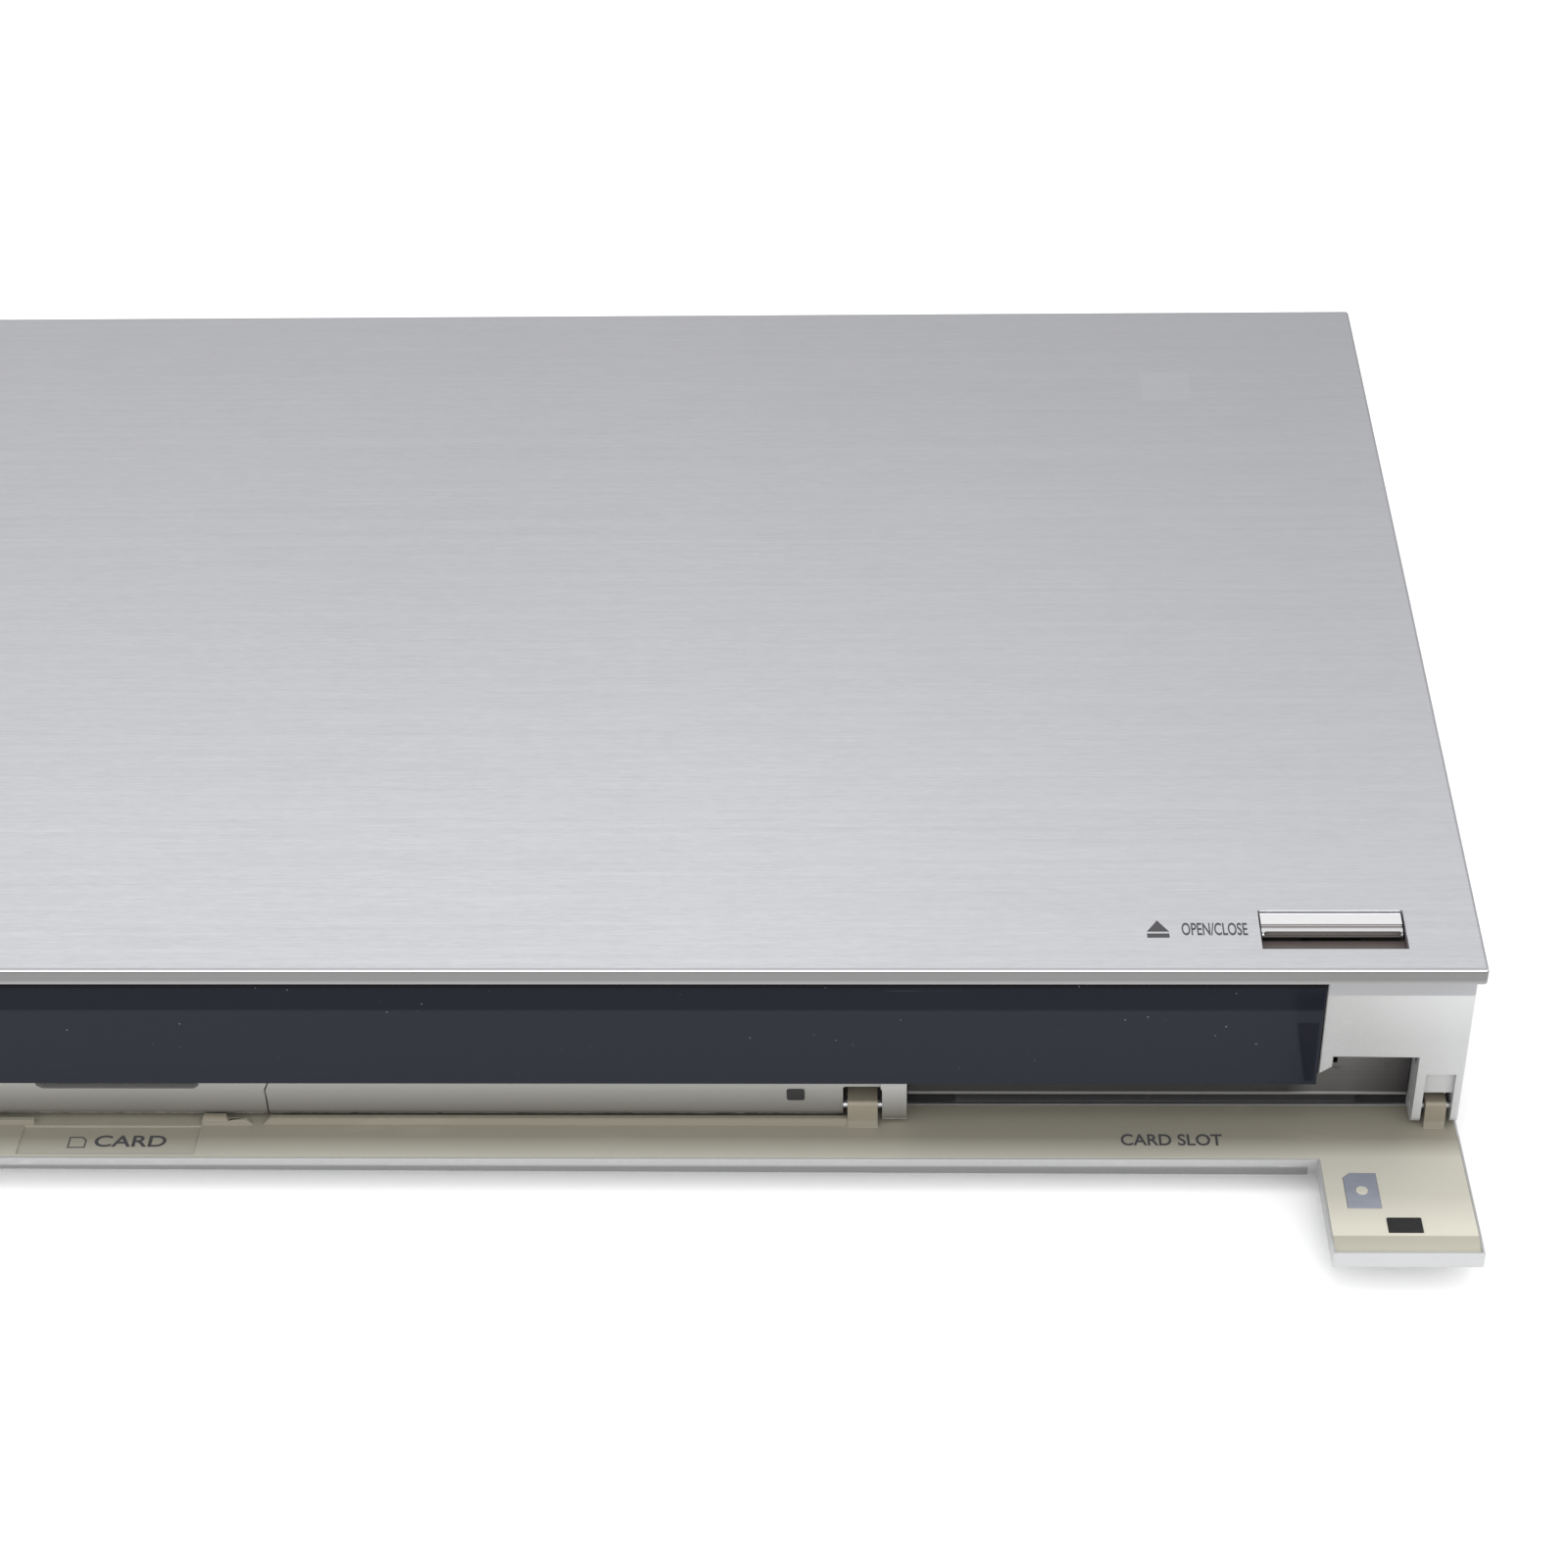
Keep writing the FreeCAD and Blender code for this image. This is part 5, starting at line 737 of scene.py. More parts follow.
def clear_lens():
    paint = Paint("Lens")
    low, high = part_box("pickup_lens")
    film = paint.noise(900.0)
    bluish = paint.mix(paint.away((low + high) / 2).ramp(0.0, 0.0024), (0.02, 0.05, 0.16), (0.2, 0.28, 0.4))
    return paint.finish(bluish, 0.03 + film * 0.03, 0.0, film, 0.02, 0.00005, Coat_Weight=1.0,
                        Coat_Roughness=0.02)


def display_glass():
    paint = Paint("Display glass")
    columns, rows = ((place * 220).fract().ramp(0.86, 0.9) for place in (paint.x, paint.z))
    haze = paint.noise(60.0)
    base = paint.mix((columns + rows).clamped() * 0.5, (0.012, 0.016, 0.018), (0.03, 0.04, 0.042))
    return paint.finish(base, 0.08 + haze * 0.08, 0.0, haze, 0.02, 0.0001, Coat_Weight=0.5)


def wound_core():
    paint = Paint("Transformer")
    low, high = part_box("transformer")
    grit, tall = paint.noise(1600.0, 3.0), high.z - low.z
    tape = paint.z.band(low.z + tall * 0.25, low.z + tall * 0.75)
    yellow = paint.mix((paint.z * 900).fract().ramp(0.0, 0.2), (0.36, 0.25, 0.02), (0.6, 0.44, 0.05))
    base = paint.mix(tape, paint.tone((0.035, 0.035, 0.037), grit, 0.25), yellow)
    return paint.finish(base, 0.55 - tape * 0.25, 0.0, grit, 0.2, 0.00004)


def cast_case():
    paint = Paint("Disk case")
    low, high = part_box("hard_disk")
    sand, away = paint.noise(2200.0, 3.0), paint.away((low + high) / 2)
    turned = (away.band(0.018, 0.0195) + away.band(0.040, 0.0412)).clamped()
    base = paint.mix(turned * 0.6, paint.tone((0.32, 0.325, 0.34), sand, 0.1), (0.6, 0.6, 0.62))
    return paint.finish(base, 0.4 + sand * 0.12 - turned * 0.15, 0.9, sand, 0.15, 0.00003)


def jack_plate():
    """Nickel collars of the jacks, with a coloured inside for each third of their width."""
    paint = Paint("Jack collars")
    low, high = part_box("av_jacks")
    third, cloud = (high.x - low.x) / 3, paint.noise(260.0, 3.0)
    plastic = paint.mix(paint.x < low.x + third, (0.75, 0.73, 0.68), (0.72, 0.5, 0.03))
    plastic = paint.mix(paint.x > high.x - third, plastic, (0.5, 0.02, 0.02))
    inner = paint.y < high.y - 0.0062
    base = paint.mix(inner, paint.tone(colours().nickel, cloud, 0.08), plastic)
    return paint.finish(base, 0.22 + cloud * 0.12 + inner * 0.15, 1.0 - inner, cloud, 0.05, 0.00005)


def black_moulding():
    paint = Paint("Black moulding")
    grain, cloud, dust = paint.cells(1900.0), paint.noise(40.0), paint.noise(700.0, 3.0).ramp(0.6, 0.75)
    base = paint.mix(dust * 0.08, paint.tone(colours().black, cloud, 0.25), (0.2, 0.2, 0.2))
    return paint.finish(base, 0.48 + cloud * 0.15, 0.0, grain, 0.25, 0.00004)


def soft_rubber():
    paint = Paint("Rubber")
    grain, scuff = paint.noise(3000.0, 3.0), paint.noise(160.0, 4.0).ramp(0.55, 0.75)
    base = paint.mix(scuff * 0.12, paint.tone(colours().rubber, grain, 0.2), (0.2, 0.2, 0.19))
    return paint.finish(base, 0.75 + scuff * 0.12, 0.0, grain, 0.3, 0.00004)


def black_magnet():
    paint = Paint("Magnet")
    grit, chips = paint.noise(2400.0, 4.0), paint.cells(700.0).fall(0.03, 0.1)
    base = paint.mix(chips * 0.4, paint.tone((0.05, 0.05, 0.052), grit, 0.3), (0.14, 0.14, 0.14))
    return paint.finish(base, 0.55 + grit * 0.15, 0.3, grit, 0.3, 0.00005)


def natural_plastic():
    paint = Paint("Gear plastic")
    cloud, grain = paint.noise(160.0, 3.0), paint.noise(2400.0)
    grease = paint.noise(300.0, 3.0).ramp(0.6, 0.7)
    base = paint.mix(grease * 0.25, paint.tone(colours().gear, cloud, 0.04), (0.55, 0.53, 0.45))
    return paint.finish(base, 0.42 - grease * 0.2, 0.0, grain, 0.12, 0.00003)


def plain(title, tint, spread, roughness, rougher, metallic, strength, distance, look, cloud=(), grain=()):
    """Maker of a finish whose tone and roughness follow one noise, given by its arguments.

    The tint is a colour or its name. A cloud is mixed into the tone, and a grain takes over the bump.
    """
    def make():
        paint = Paint(title)
        main = paint.noise(*look)
        tone = main * 0.6 + paint.noise(*cloud) * 0.4 if cloud else main
        base = paint.tone(getattr(colours(), tint) if isinstance(tint, str) else tint, tone, spread)
        height = paint.noise(*grain) if grain else main
        return paint.finish(base, roughness + main * rougher, metallic, height, strength, distance)
    return make


def stroke_noise(x, y, z):
    """Arguments of a noise with its own cells per metre along each axis."""
    return 1.0, 2.0, 0.5, (x, y, z)


FINISH_MAKERS = {
    "brushed_top": brushed_plate, "cover_steel": painted_cover, "zinc_steel": zinc_sheet,
    "silver_plastic": silver_moulding, "beige_plastic": beige_moulding, "grey_bar": bar_moulding,
    "smoked": smoked_sheet, "tray_face": smoked_sheet, "black_plastic": black_moulding,
    "foot_rubber": soft_rubber, "catch_steel": rolled_plate, "black_foam": black_foam, "magnet": black_magnet,
    "mirror_key": mirror_cap, "key_cup": brown_cup, "circuit_board": circuit_board,
    "gear_plastic": natural_plastic, "lens_glass": clear_lens, "display": display_glass,
    "ferrite": wound_core, "disk_case": cast_case, "jack_collars": jack_plate, "bay_metal": bay_metal,
    "screw_steel": plain("Plated screw", (0.5, 0.5, 0.52), 0.12, 0.22, 0.14, 1.0, 0.1, 0.00002,
                         stroke_noise(5000, 900, 5000)),
    "pin_steel": plain("Ground steel", "steel", 0.12, 0.32, 0.14, 1.0, 0.08, 0.00002,
                       stroke_noise(2500, 300, 2500)),
    "motor_can": plain("Motor can", (0.42, 0.42, 0.43), 0.12, 0.28, 0.15, 0.95, 0.08, 0.00002,
                       stroke_noise(500, 500, 3800), cloud=(90.0,)),
    "turntable": plain("Turntable", (0.03, 0.03, 0.034), 0.25, 0.4, 0.2, 0.0, 0.2, 0.00003, (240.0,),
                       grain=(1800.0,)),
    "heatsink": plain("Heatsink", (0.33, 0.335, 0.345), 0.12, 0.38, 0.15, 0.9, 0.15, 0.00003,
                      stroke_noise(3000, 60, 600), cloud=(60.0,)),
    "nickel": plain("Nickel", "nickel", 0.1, 0.2, 0.14, 1.0, 0.12, 0.00003, (260.0, 3.0),
                    grain=stroke_noise(700, 4200, 700)),
    "dark_ink": plain("Dark print", (0.05, 0.05, 0.055), 0.2, 0.5, 0.1, 0.0, 0.1, 0.00001, (3500.0,)),
}
FINISHES = {}


def finish_of(slot):
    """One material for each maker of finishes, made when it is first wanted."""
    maker = FINISH_MAKERS[slot]
    if maker not in FINISHES:
        FINISHES[maker] = maker()
    return FINISHES[maker]


# Pieces

class PieceOperator:
    bl_options = {"REGISTER", "UNDO"}

    def execute(self, context):
        self.make(context.scene.recorder_sizes)
        return {"FINISHED"}


class RECORDER_OT_top_plate(PieceOperator, bpy.types.Operator):
    """Folded top plate with a bright front edge and its two key openings"""
    bl_idname = "recorder.top_plate"
    bl_label = "Top plate"

    def make(self, size):
        low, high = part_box("top_panel")
        high.z -= size.print_height
        plate = start_block("top_plate", low, high)
        sink_face(plate, facing("Z", -1), size.plate_lip, high.z - low.z - size.plate_sheet)
        openings = [start_block("opening", *key_opening(key, size))
                    for key in ("eject_button", "power_button")]
        carve(plate, join("openings", openings))
        bevel_edges(plate, lambda middle, along: abs(along.z) > 0.9 and near(abs(middle.x), high.x)
                    and (near(middle.y, low.y) or near(middle.y, high.y)), size.plate_corner, 4)
        bevel_edges(plate, lambda middle, along: near(middle.z, high.z) and on_rim(middle, low, high),
                    size.plate_edge)
        soften(plate, size.metal_edge)
        settle(plate, "cabinet", "brushed_top", "top_panel")


def on_rim(place, low, high, margin=0.0007):
    """Whether a place is near one of the four sides of a box."""
    return min(place.x - low.x, high.x - place.x, place.y - low.y, high.y - place.y) < margin


def key_step():
    """Place along Y where a key's cap steps down to its ridge."""
    low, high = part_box("eject_button")
    return low.y + (high.y - low.y) * 0.52


def key_opening(key, size):
    """Corners of the opening in the top plate round one key."""
    low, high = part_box(key)
    middle, rear, top = (low.x + high.x) / 2, high.y + size.key_rear + 0.0002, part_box("top_panel")[1].z
    return (Vector((middle - size.key_width / 2, rear - size.key_depth, top - 0.004)),
            Vector((middle + size.key_width / 2, rear, top + 0.001)))


class RECORDER_OT_keys(PieceOperator, bpy.types.Operator):
    """Mirror key caps with a rounded ridge, and the brown cups that they stand in"""
    bl_idname = "recorder.keys"
    bl_label = "Keys"

    def make(self, size):
        cap = self.make_cap(size)
        step = Vector((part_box("power_button")[0].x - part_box("eject_button")[0].x, 0, 0))
        other = rename(repeat(cap, step)[0], "power_cap")
        settle(cap, "eject_key", "mirror_key", "eject_button")
        settle(other, "power_key", "mirror_key", "power_button")
        cup = self.make_cup(size)
        cups = join("key_cups", [cup, *repeat(cup, step)])
        settle(cups, "cabinet", "black_plastic", "key_wells", finish="key_cup")

    def make_cap(self, size):
        low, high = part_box("eject_button")
        foot, step = high.z - 0.001, key_step()
        cap = start_block("eject_cap", (low.x, low.y, foot), high + Vector((0, size.key_rear, 0)))
        bisect(cap, (0, step, 0), (0, 1, 0))
        with shaping(cap):
            choose(cap, "FACE", lambda middle, normal: normal.z > 0.99 and middle.y < step)
            bpy.ops.mesh.extrude_region_shrink_fatten(TRANSFORM_OT_shrink_fatten={"value": -0.00035})
        bevel_edges(cap, lambda middle, along: near(middle.y, low.y) and middle.z > high.z - 0.0004,
                    size.key_ridge * 0.75, 6)
        unite(cap, self.start_stem("stem", low.z, foot + 0.0002, 0.004, 0.001))
        return soften(cap, size.metal_edge)

    def make_cup(self, size):
        low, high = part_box("key_wells")
        opening_low, opening_high = key_opening("eject_button", size)
        border = Vector((size.cup_border, size.cup_border, 0))
        cup = start_block("key_cup", Vector((opening_low.x, opening_low.y, low.z)) - border,
                          Vector((opening_high.x, opening_high.y, high.z)) + border)
        sink_face(cup, facing("Z"), size.cup_border, high.z - low.z - 0.0004)
        carve(cup, self.start_stem("cutter", low.z - 0.001, high.z, 0.0044, 0.0014))
        return soften(cup, size.metal_edge)

    def start_stem(self, name, bottom, top, half_width, half_depth):
        """The stem below the eject key, or what clears it in the cup."""
        low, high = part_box("eject_button")
        across, deep = (low.x + high.x) / 2, (low.y + high.y) / 2
        return start_block(name, (across - half_width, deep - half_depth, bottom),
                           (across + half_width, deep + half_depth, top))


class RECORDER_OT_window(PieceOperator, bpy.types.Operator):
    """Smoked window, low below the tray front and tall to the right of it, and the tray front"""
    bl_idname = "recorder.window"
    bl_label = "Window and tray front"

    def make(self, size):
        low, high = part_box("display_window")
        tray_low, tray_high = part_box("tray_front")
        left, shelf = tray_high.x + 0.0003, tray_low.z - 0.0003
        corners = [(low.x, low.z), (high.x, low.z), (high.x, high.z), (left, high.z), (left, shelf),
                   (low.x, shelf)]
        pane = start_prism("window_pane", corners, "Y", low.y, high.y)
        raise_face(pane, facing("Y"), (0.0012, -0.0003))
        settle(soften(pane, size.window_edge, segments=3), "cabinet", "smoked", "display_window")
        fascia = start_block("tray_fascia", tray_low, tray_high)
        raise_face(fascia, facing("Y"), (0.002, -0.0004))
        settle(soften(fascia, size.window_edge, segments=3), "tray", "tray_face", "tray_front")


class RECORDER_OT_right_block(PieceOperator, bpy.types.Operator):
    """Right end block with the cut-out over the card bay and the bracket of the last hinge arm"""
    bl_idname = "recorder.right_block"
    bl_label = "Right end block"

    def make(self, size):
        low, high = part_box("right_bezel")
        bay_right, cut, wall = high.x - 0.0068, low.x + 0.002, size.bezel_wall
        ear_left, ear_right = bay_right + 0.0013, high.x - 0.0011
        sill, sill_end, bay_top, bridge = 0.0166, 0.0182, 0.0202, 0.0121
        corners = [(low.x, sill), (cut, sill_end), (cut, bay_top), (bay_right, bay_top), (bay_right, low.z),
                   (ear_left, low.z), (ear_left, bridge), (ear_right, bridge), (ear_right, low.z),
                   (high.x, low.z), (high.x, high.z), (low.x, high.z)]
        face = start_prism("end_block_right", corners, "Y", low.y, high.y)
        bevel_edges(face, edge_at(y=low.y, z=low.z), 0.002, 8)
        bevel_edges(face, lambda middle, along: near(middle.y, low.y) and middle.z > sill - 0.0002, 0.0003)
        carve_block(face, (ear_left - 0.00001, low.y - 0.001, low.z),
                    (ear_right + 0.00001, low.y + 0.001, sill + 0.0001))
        carve_block(face, (low.x - 0.001, low.y + wall, sill + 0.0003),
                    (high.x - wall, high.y + 0.001, high.z + 0.001))
        carve(face, hinge_rod("bore", bay_right - 0.001, 0.009, PIN_BORE))
        soften(face, size.moulding_edge, angle=50)
        settle(face, "cabinet", "silver_plastic", "right_bezel")


class RECORDER_OT_left_block(PieceOperator, bpy.types.Operator):
    """Hollow left end block, whose face is in line with the shut flap"""
    bl_idname = "recorder.left_block"
    bl_label = "Left end block"

    def make(self, size):
        low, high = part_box("left_bezel")
        block = start_block("end_block_left", low, high)
        sink_face(block, facing("Y"), size.bezel_wall, high.y - low.y - size.bezel_wall)
        bevel_edges(block, edge_at(y=low.y), size.flap_corner, 4)
        soften(block, size.moulding_edge, angle=50)
        settle(block, "cabinet", "silver_plastic", "left_bezel")


class RECORDER_OT_bars(PieceOperator, bpy.types.Operator):
    """The two bars below the window, with their slanted seam, hinge notches and card slot"""
    bl_idname = "recorder.bars"
    bl_label = "Bars"

    def make(self, size):
        self.make_trim(size)
        self.make_slot_bar(size)

    def start_bar(self, name, low, high, seam, nose):
        """A bar with its nose and its bend rounded, and leaning at the seam."""
        profile = [(high.y, BAR_LOW), (high.y, BAR_TOP), (BAR_BROW, BAR_TOP), (BAR_FACE, BAR_BEND),
                   (BAR_FACE, BAR_LOW)]
        bar = start_prism(name, profile, "X", low.x, high.x)
        bevel_edges(bar, edge_at("X", y=BAR_FACE, z=BAR_LOW), nose, 8)
        bevel_edges(bar, edge_at("X", y=BAR_FACE, z=BAR_BEND), nose, 6)
        move_corners(bar, lambda middle, normal: near(middle.x, seam) and middle.z > 0.0145, (0.001, 0, 0))
        return bar

    def arm_cutters(self, across):
        """The notch for a hinge arm and the bore for its pin."""
        notch = start_block("notch", (across - NOTCH_HALF, FRONT + 0.003, 0.005),
                            (across + NOTCH_HALF, FRONT + 0.011, NOTCH_TOP))
        bevel_edges(notch, edge_at("Y", z=NOTCH_TOP), 0.0005)
        reach = NOTCH_HALF + PIN_SEAT
        return notch, hinge_rod("bore", across - reach, 2 * reach, PIN_BORE)

    def make_trim(self, size):
        low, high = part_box("trim_bar")
        bar = self.start_bar("trim_rail", low, high, low.x, size.bar_nose)
        ear = start_block("ear", (MIDDLE_ARM + 0.0027, EAR_FACE, 0.0061), (high.x, high.y, BAR_TOP))
        bevel_edges(ear, edge_at("X", y=EAR_FACE, z=0.0061), 0.002, 8)
        unite(bar, ear)
        carve(bar, *self.arm_cutters(MIDDLE_ARM))
        soften(bar, size.moulding_edge, angle=45)
        settle(bar, "cabinet", "grey_bar", "trim_bar")

    def make_slot_bar(self, size):
        low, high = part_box("slot_bar")
        bar = self.start_bar("slot_rail", low, high, high.x, size.bar_nose)
        for across in (LEFT_ARM, low.x + 0.0091):
            carve(bar, *self.arm_cutters(across))
        slot_left, slot_right, slot_low = 0.0033, 0.0277, 0.0128
        slot = start_block("slot", (slot_left, FRONT + 0.003, slot_low), (slot_right, FRONT + 0.011, 0.016))
        bevel_edges(slot, edge_at("Y", z=slot_low), 0.0008, 1)
        carve(bar, slot)
        soften(bar, size.moulding_edge, angle=45)
        settle(bar, "cabinet", "grey_bar", "slot_bar")


class RECORDER_OT_hinge_pins(PieceOperator, bpy.types.Operator):
    """Four steel pins with rounded ends on the hinge axis"""
    bl_idname = "recorder.hinge_pins"
    bl_label = "Hinge pins"

    def make(self, size):
        low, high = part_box("hinge_pins")
        reach, last_reach = 2 * (NOTCH_HALF + PIN_SEAT - 0.00005), 0.0067
        first = hinge_rod("pin", MIDDLE_ARM - reach / 2, reach, PIN_RADIUS)
        last = hinge_rod("pin", high.x - last_reach, last_reach, PIN_RADIUS)
        for pin in (first, last):
            bevel_edges(pin, lambda middle, along: abs(along.x) < 0.5, 0.0002)
        steps = [Vector((across - MIDDLE_ARM, 0, 0)) for across in (LEFT_ARM, low.x + reach / 2)]
        pins = join("pivot_pins", [first, *repeat(first, *steps), last])
        settle(soften(pins, 0), "cabinet", "pin_steel", "hinge_pins")


class RECORDER_OT_card_bay(PieceOperator, bpy.types.Operator):
    """Sheet behind the card bay with its rolled hem"""
    bl_idname = "recorder.card_bay"
    bl_label = "Card bay"

    def make(self, size):
        low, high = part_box("card_shield")
        hem = 0.0005
        sheet = start_block("bay_sheet", (low.x, low.y + 0.0001, low.z + hem),
                            (high.x, low.y + 0.0006, high.z))
        unite(sheet, start_rod("hem", "X", low + Vector((0, hem, hem)), hem, high.x - low.x, 24))
        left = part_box("right_bezel")[0].x + 0.0024
        carve_block(sheet, (left, low.y - 0.001, 0.0146), (left + 0.0011, low.y + 0.002, 0.0157))
        soften(sheet, size.metal_edge)
        settle(sheet, "cabinet", "zinc_steel", "card_shield", finish="bay_metal")


# The flap is built shut, round the hinge axis at the origin, and then swung open

def flap_outline(margin):
    """L-shaped outline of the shut flap as (x, z), drawn in by a margin."""
    left, right, step = FLAP_LEFT + margin, FLAP_RIGHT - margin, TONGUE_LEFT + margin
    bottom, strip, top = margin + FLAP_LOW, STRIP_HIGH - margin, FLAP_HIGH - margin
    return [(left, bottom), (right, bottom), (right, top), (step, top), (step, strip), (left, strip)]


class RECORDER_OT_flap_skin(PieceOperator, bpy.types.Operator):
    """Outer skin of the flap: a strip with a tall tongue at its right end"""
    bl_idname = "recorder.flap_skin"
    bl_label = "Flap skin"

    def make(self, size):
        skin = start_prism("flap_skin", flap_outline(0), "Y", FLAP_OUTER, FLAP_FACE)
        bevel_edges(skin, edge_at("X", y=FLAP_OUTER, z=STRIP_HIGH), size.strip_chamfer, 1)
        bevel_edges(skin, lambda middle, along: near(middle.y, FLAP_OUTER) and abs(along.y) < 0.5
                    and (near(middle.z, FLAP_HIGH) or near(middle.z, FLAP_LOW) or abs(along.z) > 0.9),
                    size.flap_corner, 5)
        sink_face(skin, facing("Y"), size.flap_rim, FLAP_FACE - FLAP_BACK)
        swing_open(soften(skin, 0.00008, angle=50))
        settle(skin, "flap", "silver_plastic", "flap_panel")


class RECORDER_OT_flap_lining(PieceOperator, bpy.types.Operator):
    """Lining of the flap with its hinge arms, ribs, tab, label recess and seats"""
    bl_idname = "recorder.flap_lining"
    bl_label = "Flap lining"

    def make(self, size):
        lining = start_prism("flap_lining", flap_outline(size.flap_rim), "Y", FLAP_BACK, FLAP_FACE)
        end, seat = FLAP_HIGH - size.flap_rim, FLAP_FACE - 0.0003
        bisect(lining, (0, 0, end - 0.0024), (0, 0, 1))
        with shaping(lining):
            choose(lining, "EDGE", edge_at(y=FLAP_FACE, z=end))
            bpy.ops.transform.translate(value=(0, -0.0005, 0))
        arm_half, arm_face = 0.0021, 0.00195
        for across, width in ((MIDDLE_ARM, 0.0045), (LEFT_ARM, 0.0045), (FAR_ARM, 0.0045), (0.21125, 0.0031)):
            arm = start_block("arm", (across - width / 2, FLAP_BACK + 0.0002, -arm_half),
                              (across + width / 2, arm_face, arm_half))
            bevel_edges(arm, edge_at("X", y=arm_face), size.knuckle, 5)
            unite(lining, arm)
        for start, end, height, first, last in ((0.0364, MIDDLE_ARM - 0.002, 0.0014, 0.0014, 0),
                                                (-0.17975, -0.04025, 0.0014, 0.0014, 0.0014),
                                                (0.02735, 0.03495, 0.0009, 0, 0.0009),
                                                (0.02735, 0.03155, 0.00165, 0.0003, 0.0005),
                                                (-0.030, 0.002, 0.0009, 0.0009, 0)):
            unite(lining, self.start_rib(start, end, FLAP_FACE + height, first, last))
        carve_block(lining, (0.0005, seat, 0.002), (0.0272, 0.001, 0.0084))
        carve(lining, start_prism("seat", catch_outline(0), "Y", seat, 0.001),
              start_block("seat", (0.2017, seat, 0.022), (0.2067, 0.001, 0.0251)),
              start_rod("bore", "X", (-0.2, 0, 0), PIN_BORE, 0.42))
        stake = start_rod("stake", "Y", (STAKE[0], FLAP_FACE - 0.0004, STAKE[1]), 0.0009, 0.00052)
        bevel_edges(stake, lambda middle, along: middle.y > FLAP_FACE + 0.0001 and abs(along.y) < 0.5,
                    0.00012)
        unite(lining, stake)
        swing_open(soften(lining, 0.0001, angle=45))
        settle(lining, "flap", "beige_plastic", "flap_liner")

    def start_rib(self, start, end, top, first, last):
        """A rib of the lining, with a ramp at either end unless it is 0."""
        root = FLAP_FACE - 0.0004
        foot_first = [(start, FLAP_FACE)] if first else []
        foot_last = [(end, FLAP_FACE)] if last else []
        side = [(start, root), (end, root), *foot_last, (end - last, top), (start + first, top), *foot_first]
        return start_prism("rib", side, "Z", 0.001, 0.0018)


def catch_outline(margin):
    """Outline of the catch plate on the shut flap as (x, z), with one clipped corner."""
    left, right, low, high = 0.1965 + margin, 0.2014 - margin, 0.0122 + margin, 0.0199 - margin
    return [(left + 0.001, low), (right, low), (right, high), (left, high), (left, low + 0.001)]


class RECORDER_OT_flap_fittings(PieceOperator, bpy.types.Operator):
    """Steel catch plate and foam pad on the tongue of the flap"""
    bl_idname = "recorder.flap_fittings"
    bl_label = "Catch plate and pad"

    def make(self, size):
        seat = FLAP_FACE - 0.0003
        plate = start_prism("catch", catch_outline(0.00005), "Y", seat, FLAP_FACE + 0.00005)
        carve(plate, start_rod("hole", "Y", (STAKE[0], FLAP_FACE - 0.001, STAKE[1]), 0.00092, 0.002))
        swing_open(soften(plate, 0.00004))
        settle(plate, "flap", "catch_steel", "catch_plate")
        pad = start_block("foam_pad", (0.20175, seat, 0.02205), (0.20665, FLAP_FACE + 0.0002, 0.02505))
        raise_face(pad, facing("Y"), (0.0004, 0.00007), (0.0005, 0.00003))
        swing_open(soften(pad, 0.0001))
        settle(pad, "flap", "black_foam", "cushion_pad")


class RECORDER_OT_feet(PieceOperator, bpy.types.Operator):
    """Four hollow feet with a rounded tread"""
    bl_idname = "recorder.feet"
    bl_label = "Feet"

    def make(self, size):
        low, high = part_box("feet")
        radius = 0.009
        foot = start_rod("foot", "Z", (low.x + radius, low.y + radius, low.z), radius, high.z - low.z, 64)
        sink_face(foot, facing("Z", -1), size.foot_wall, 0.0025)
        bevel_edges(foot, edge_at(z=low.z), 0.0006, 4)
        far = Vector((high.x - low.x - 2 * radius, high.y - low.y - 2 * radius, 0))
        feet = join("rubber_feet", [foot, *repeat(foot, (far.x, 0, 0), (0, far.y, 0), far)])
        soften(feet, size.metal_edge)
        settle(feet, "cabinet", "foot_rubber", "feet")


# Marks

def add_words(name, words, height, width, middle):
    """Flat bold lettering of a height and a width round a middle, given a little thickness."""
    bpy.ops.object.select_all(action="DESELECT")
    bpy.ops.object.text_add(location=(0, 0, 0))
    letters = bpy.context.object.data
    letters.body = words
    letters.size = height / 0.72
    letters.offset = height * 0.022
    letters.resolution_u = 6
    letters.align_x = letters.align_y = "CENTER"
    letters.extrude = 0.00001
    bpy.ops.object.convert(target="MESH")
    text = bpy.context.object
    text.scale = (width / text.dimensions.x, height / text.dimensions.y, 1)
    text.location = middle
    return soften(named(name), 0)


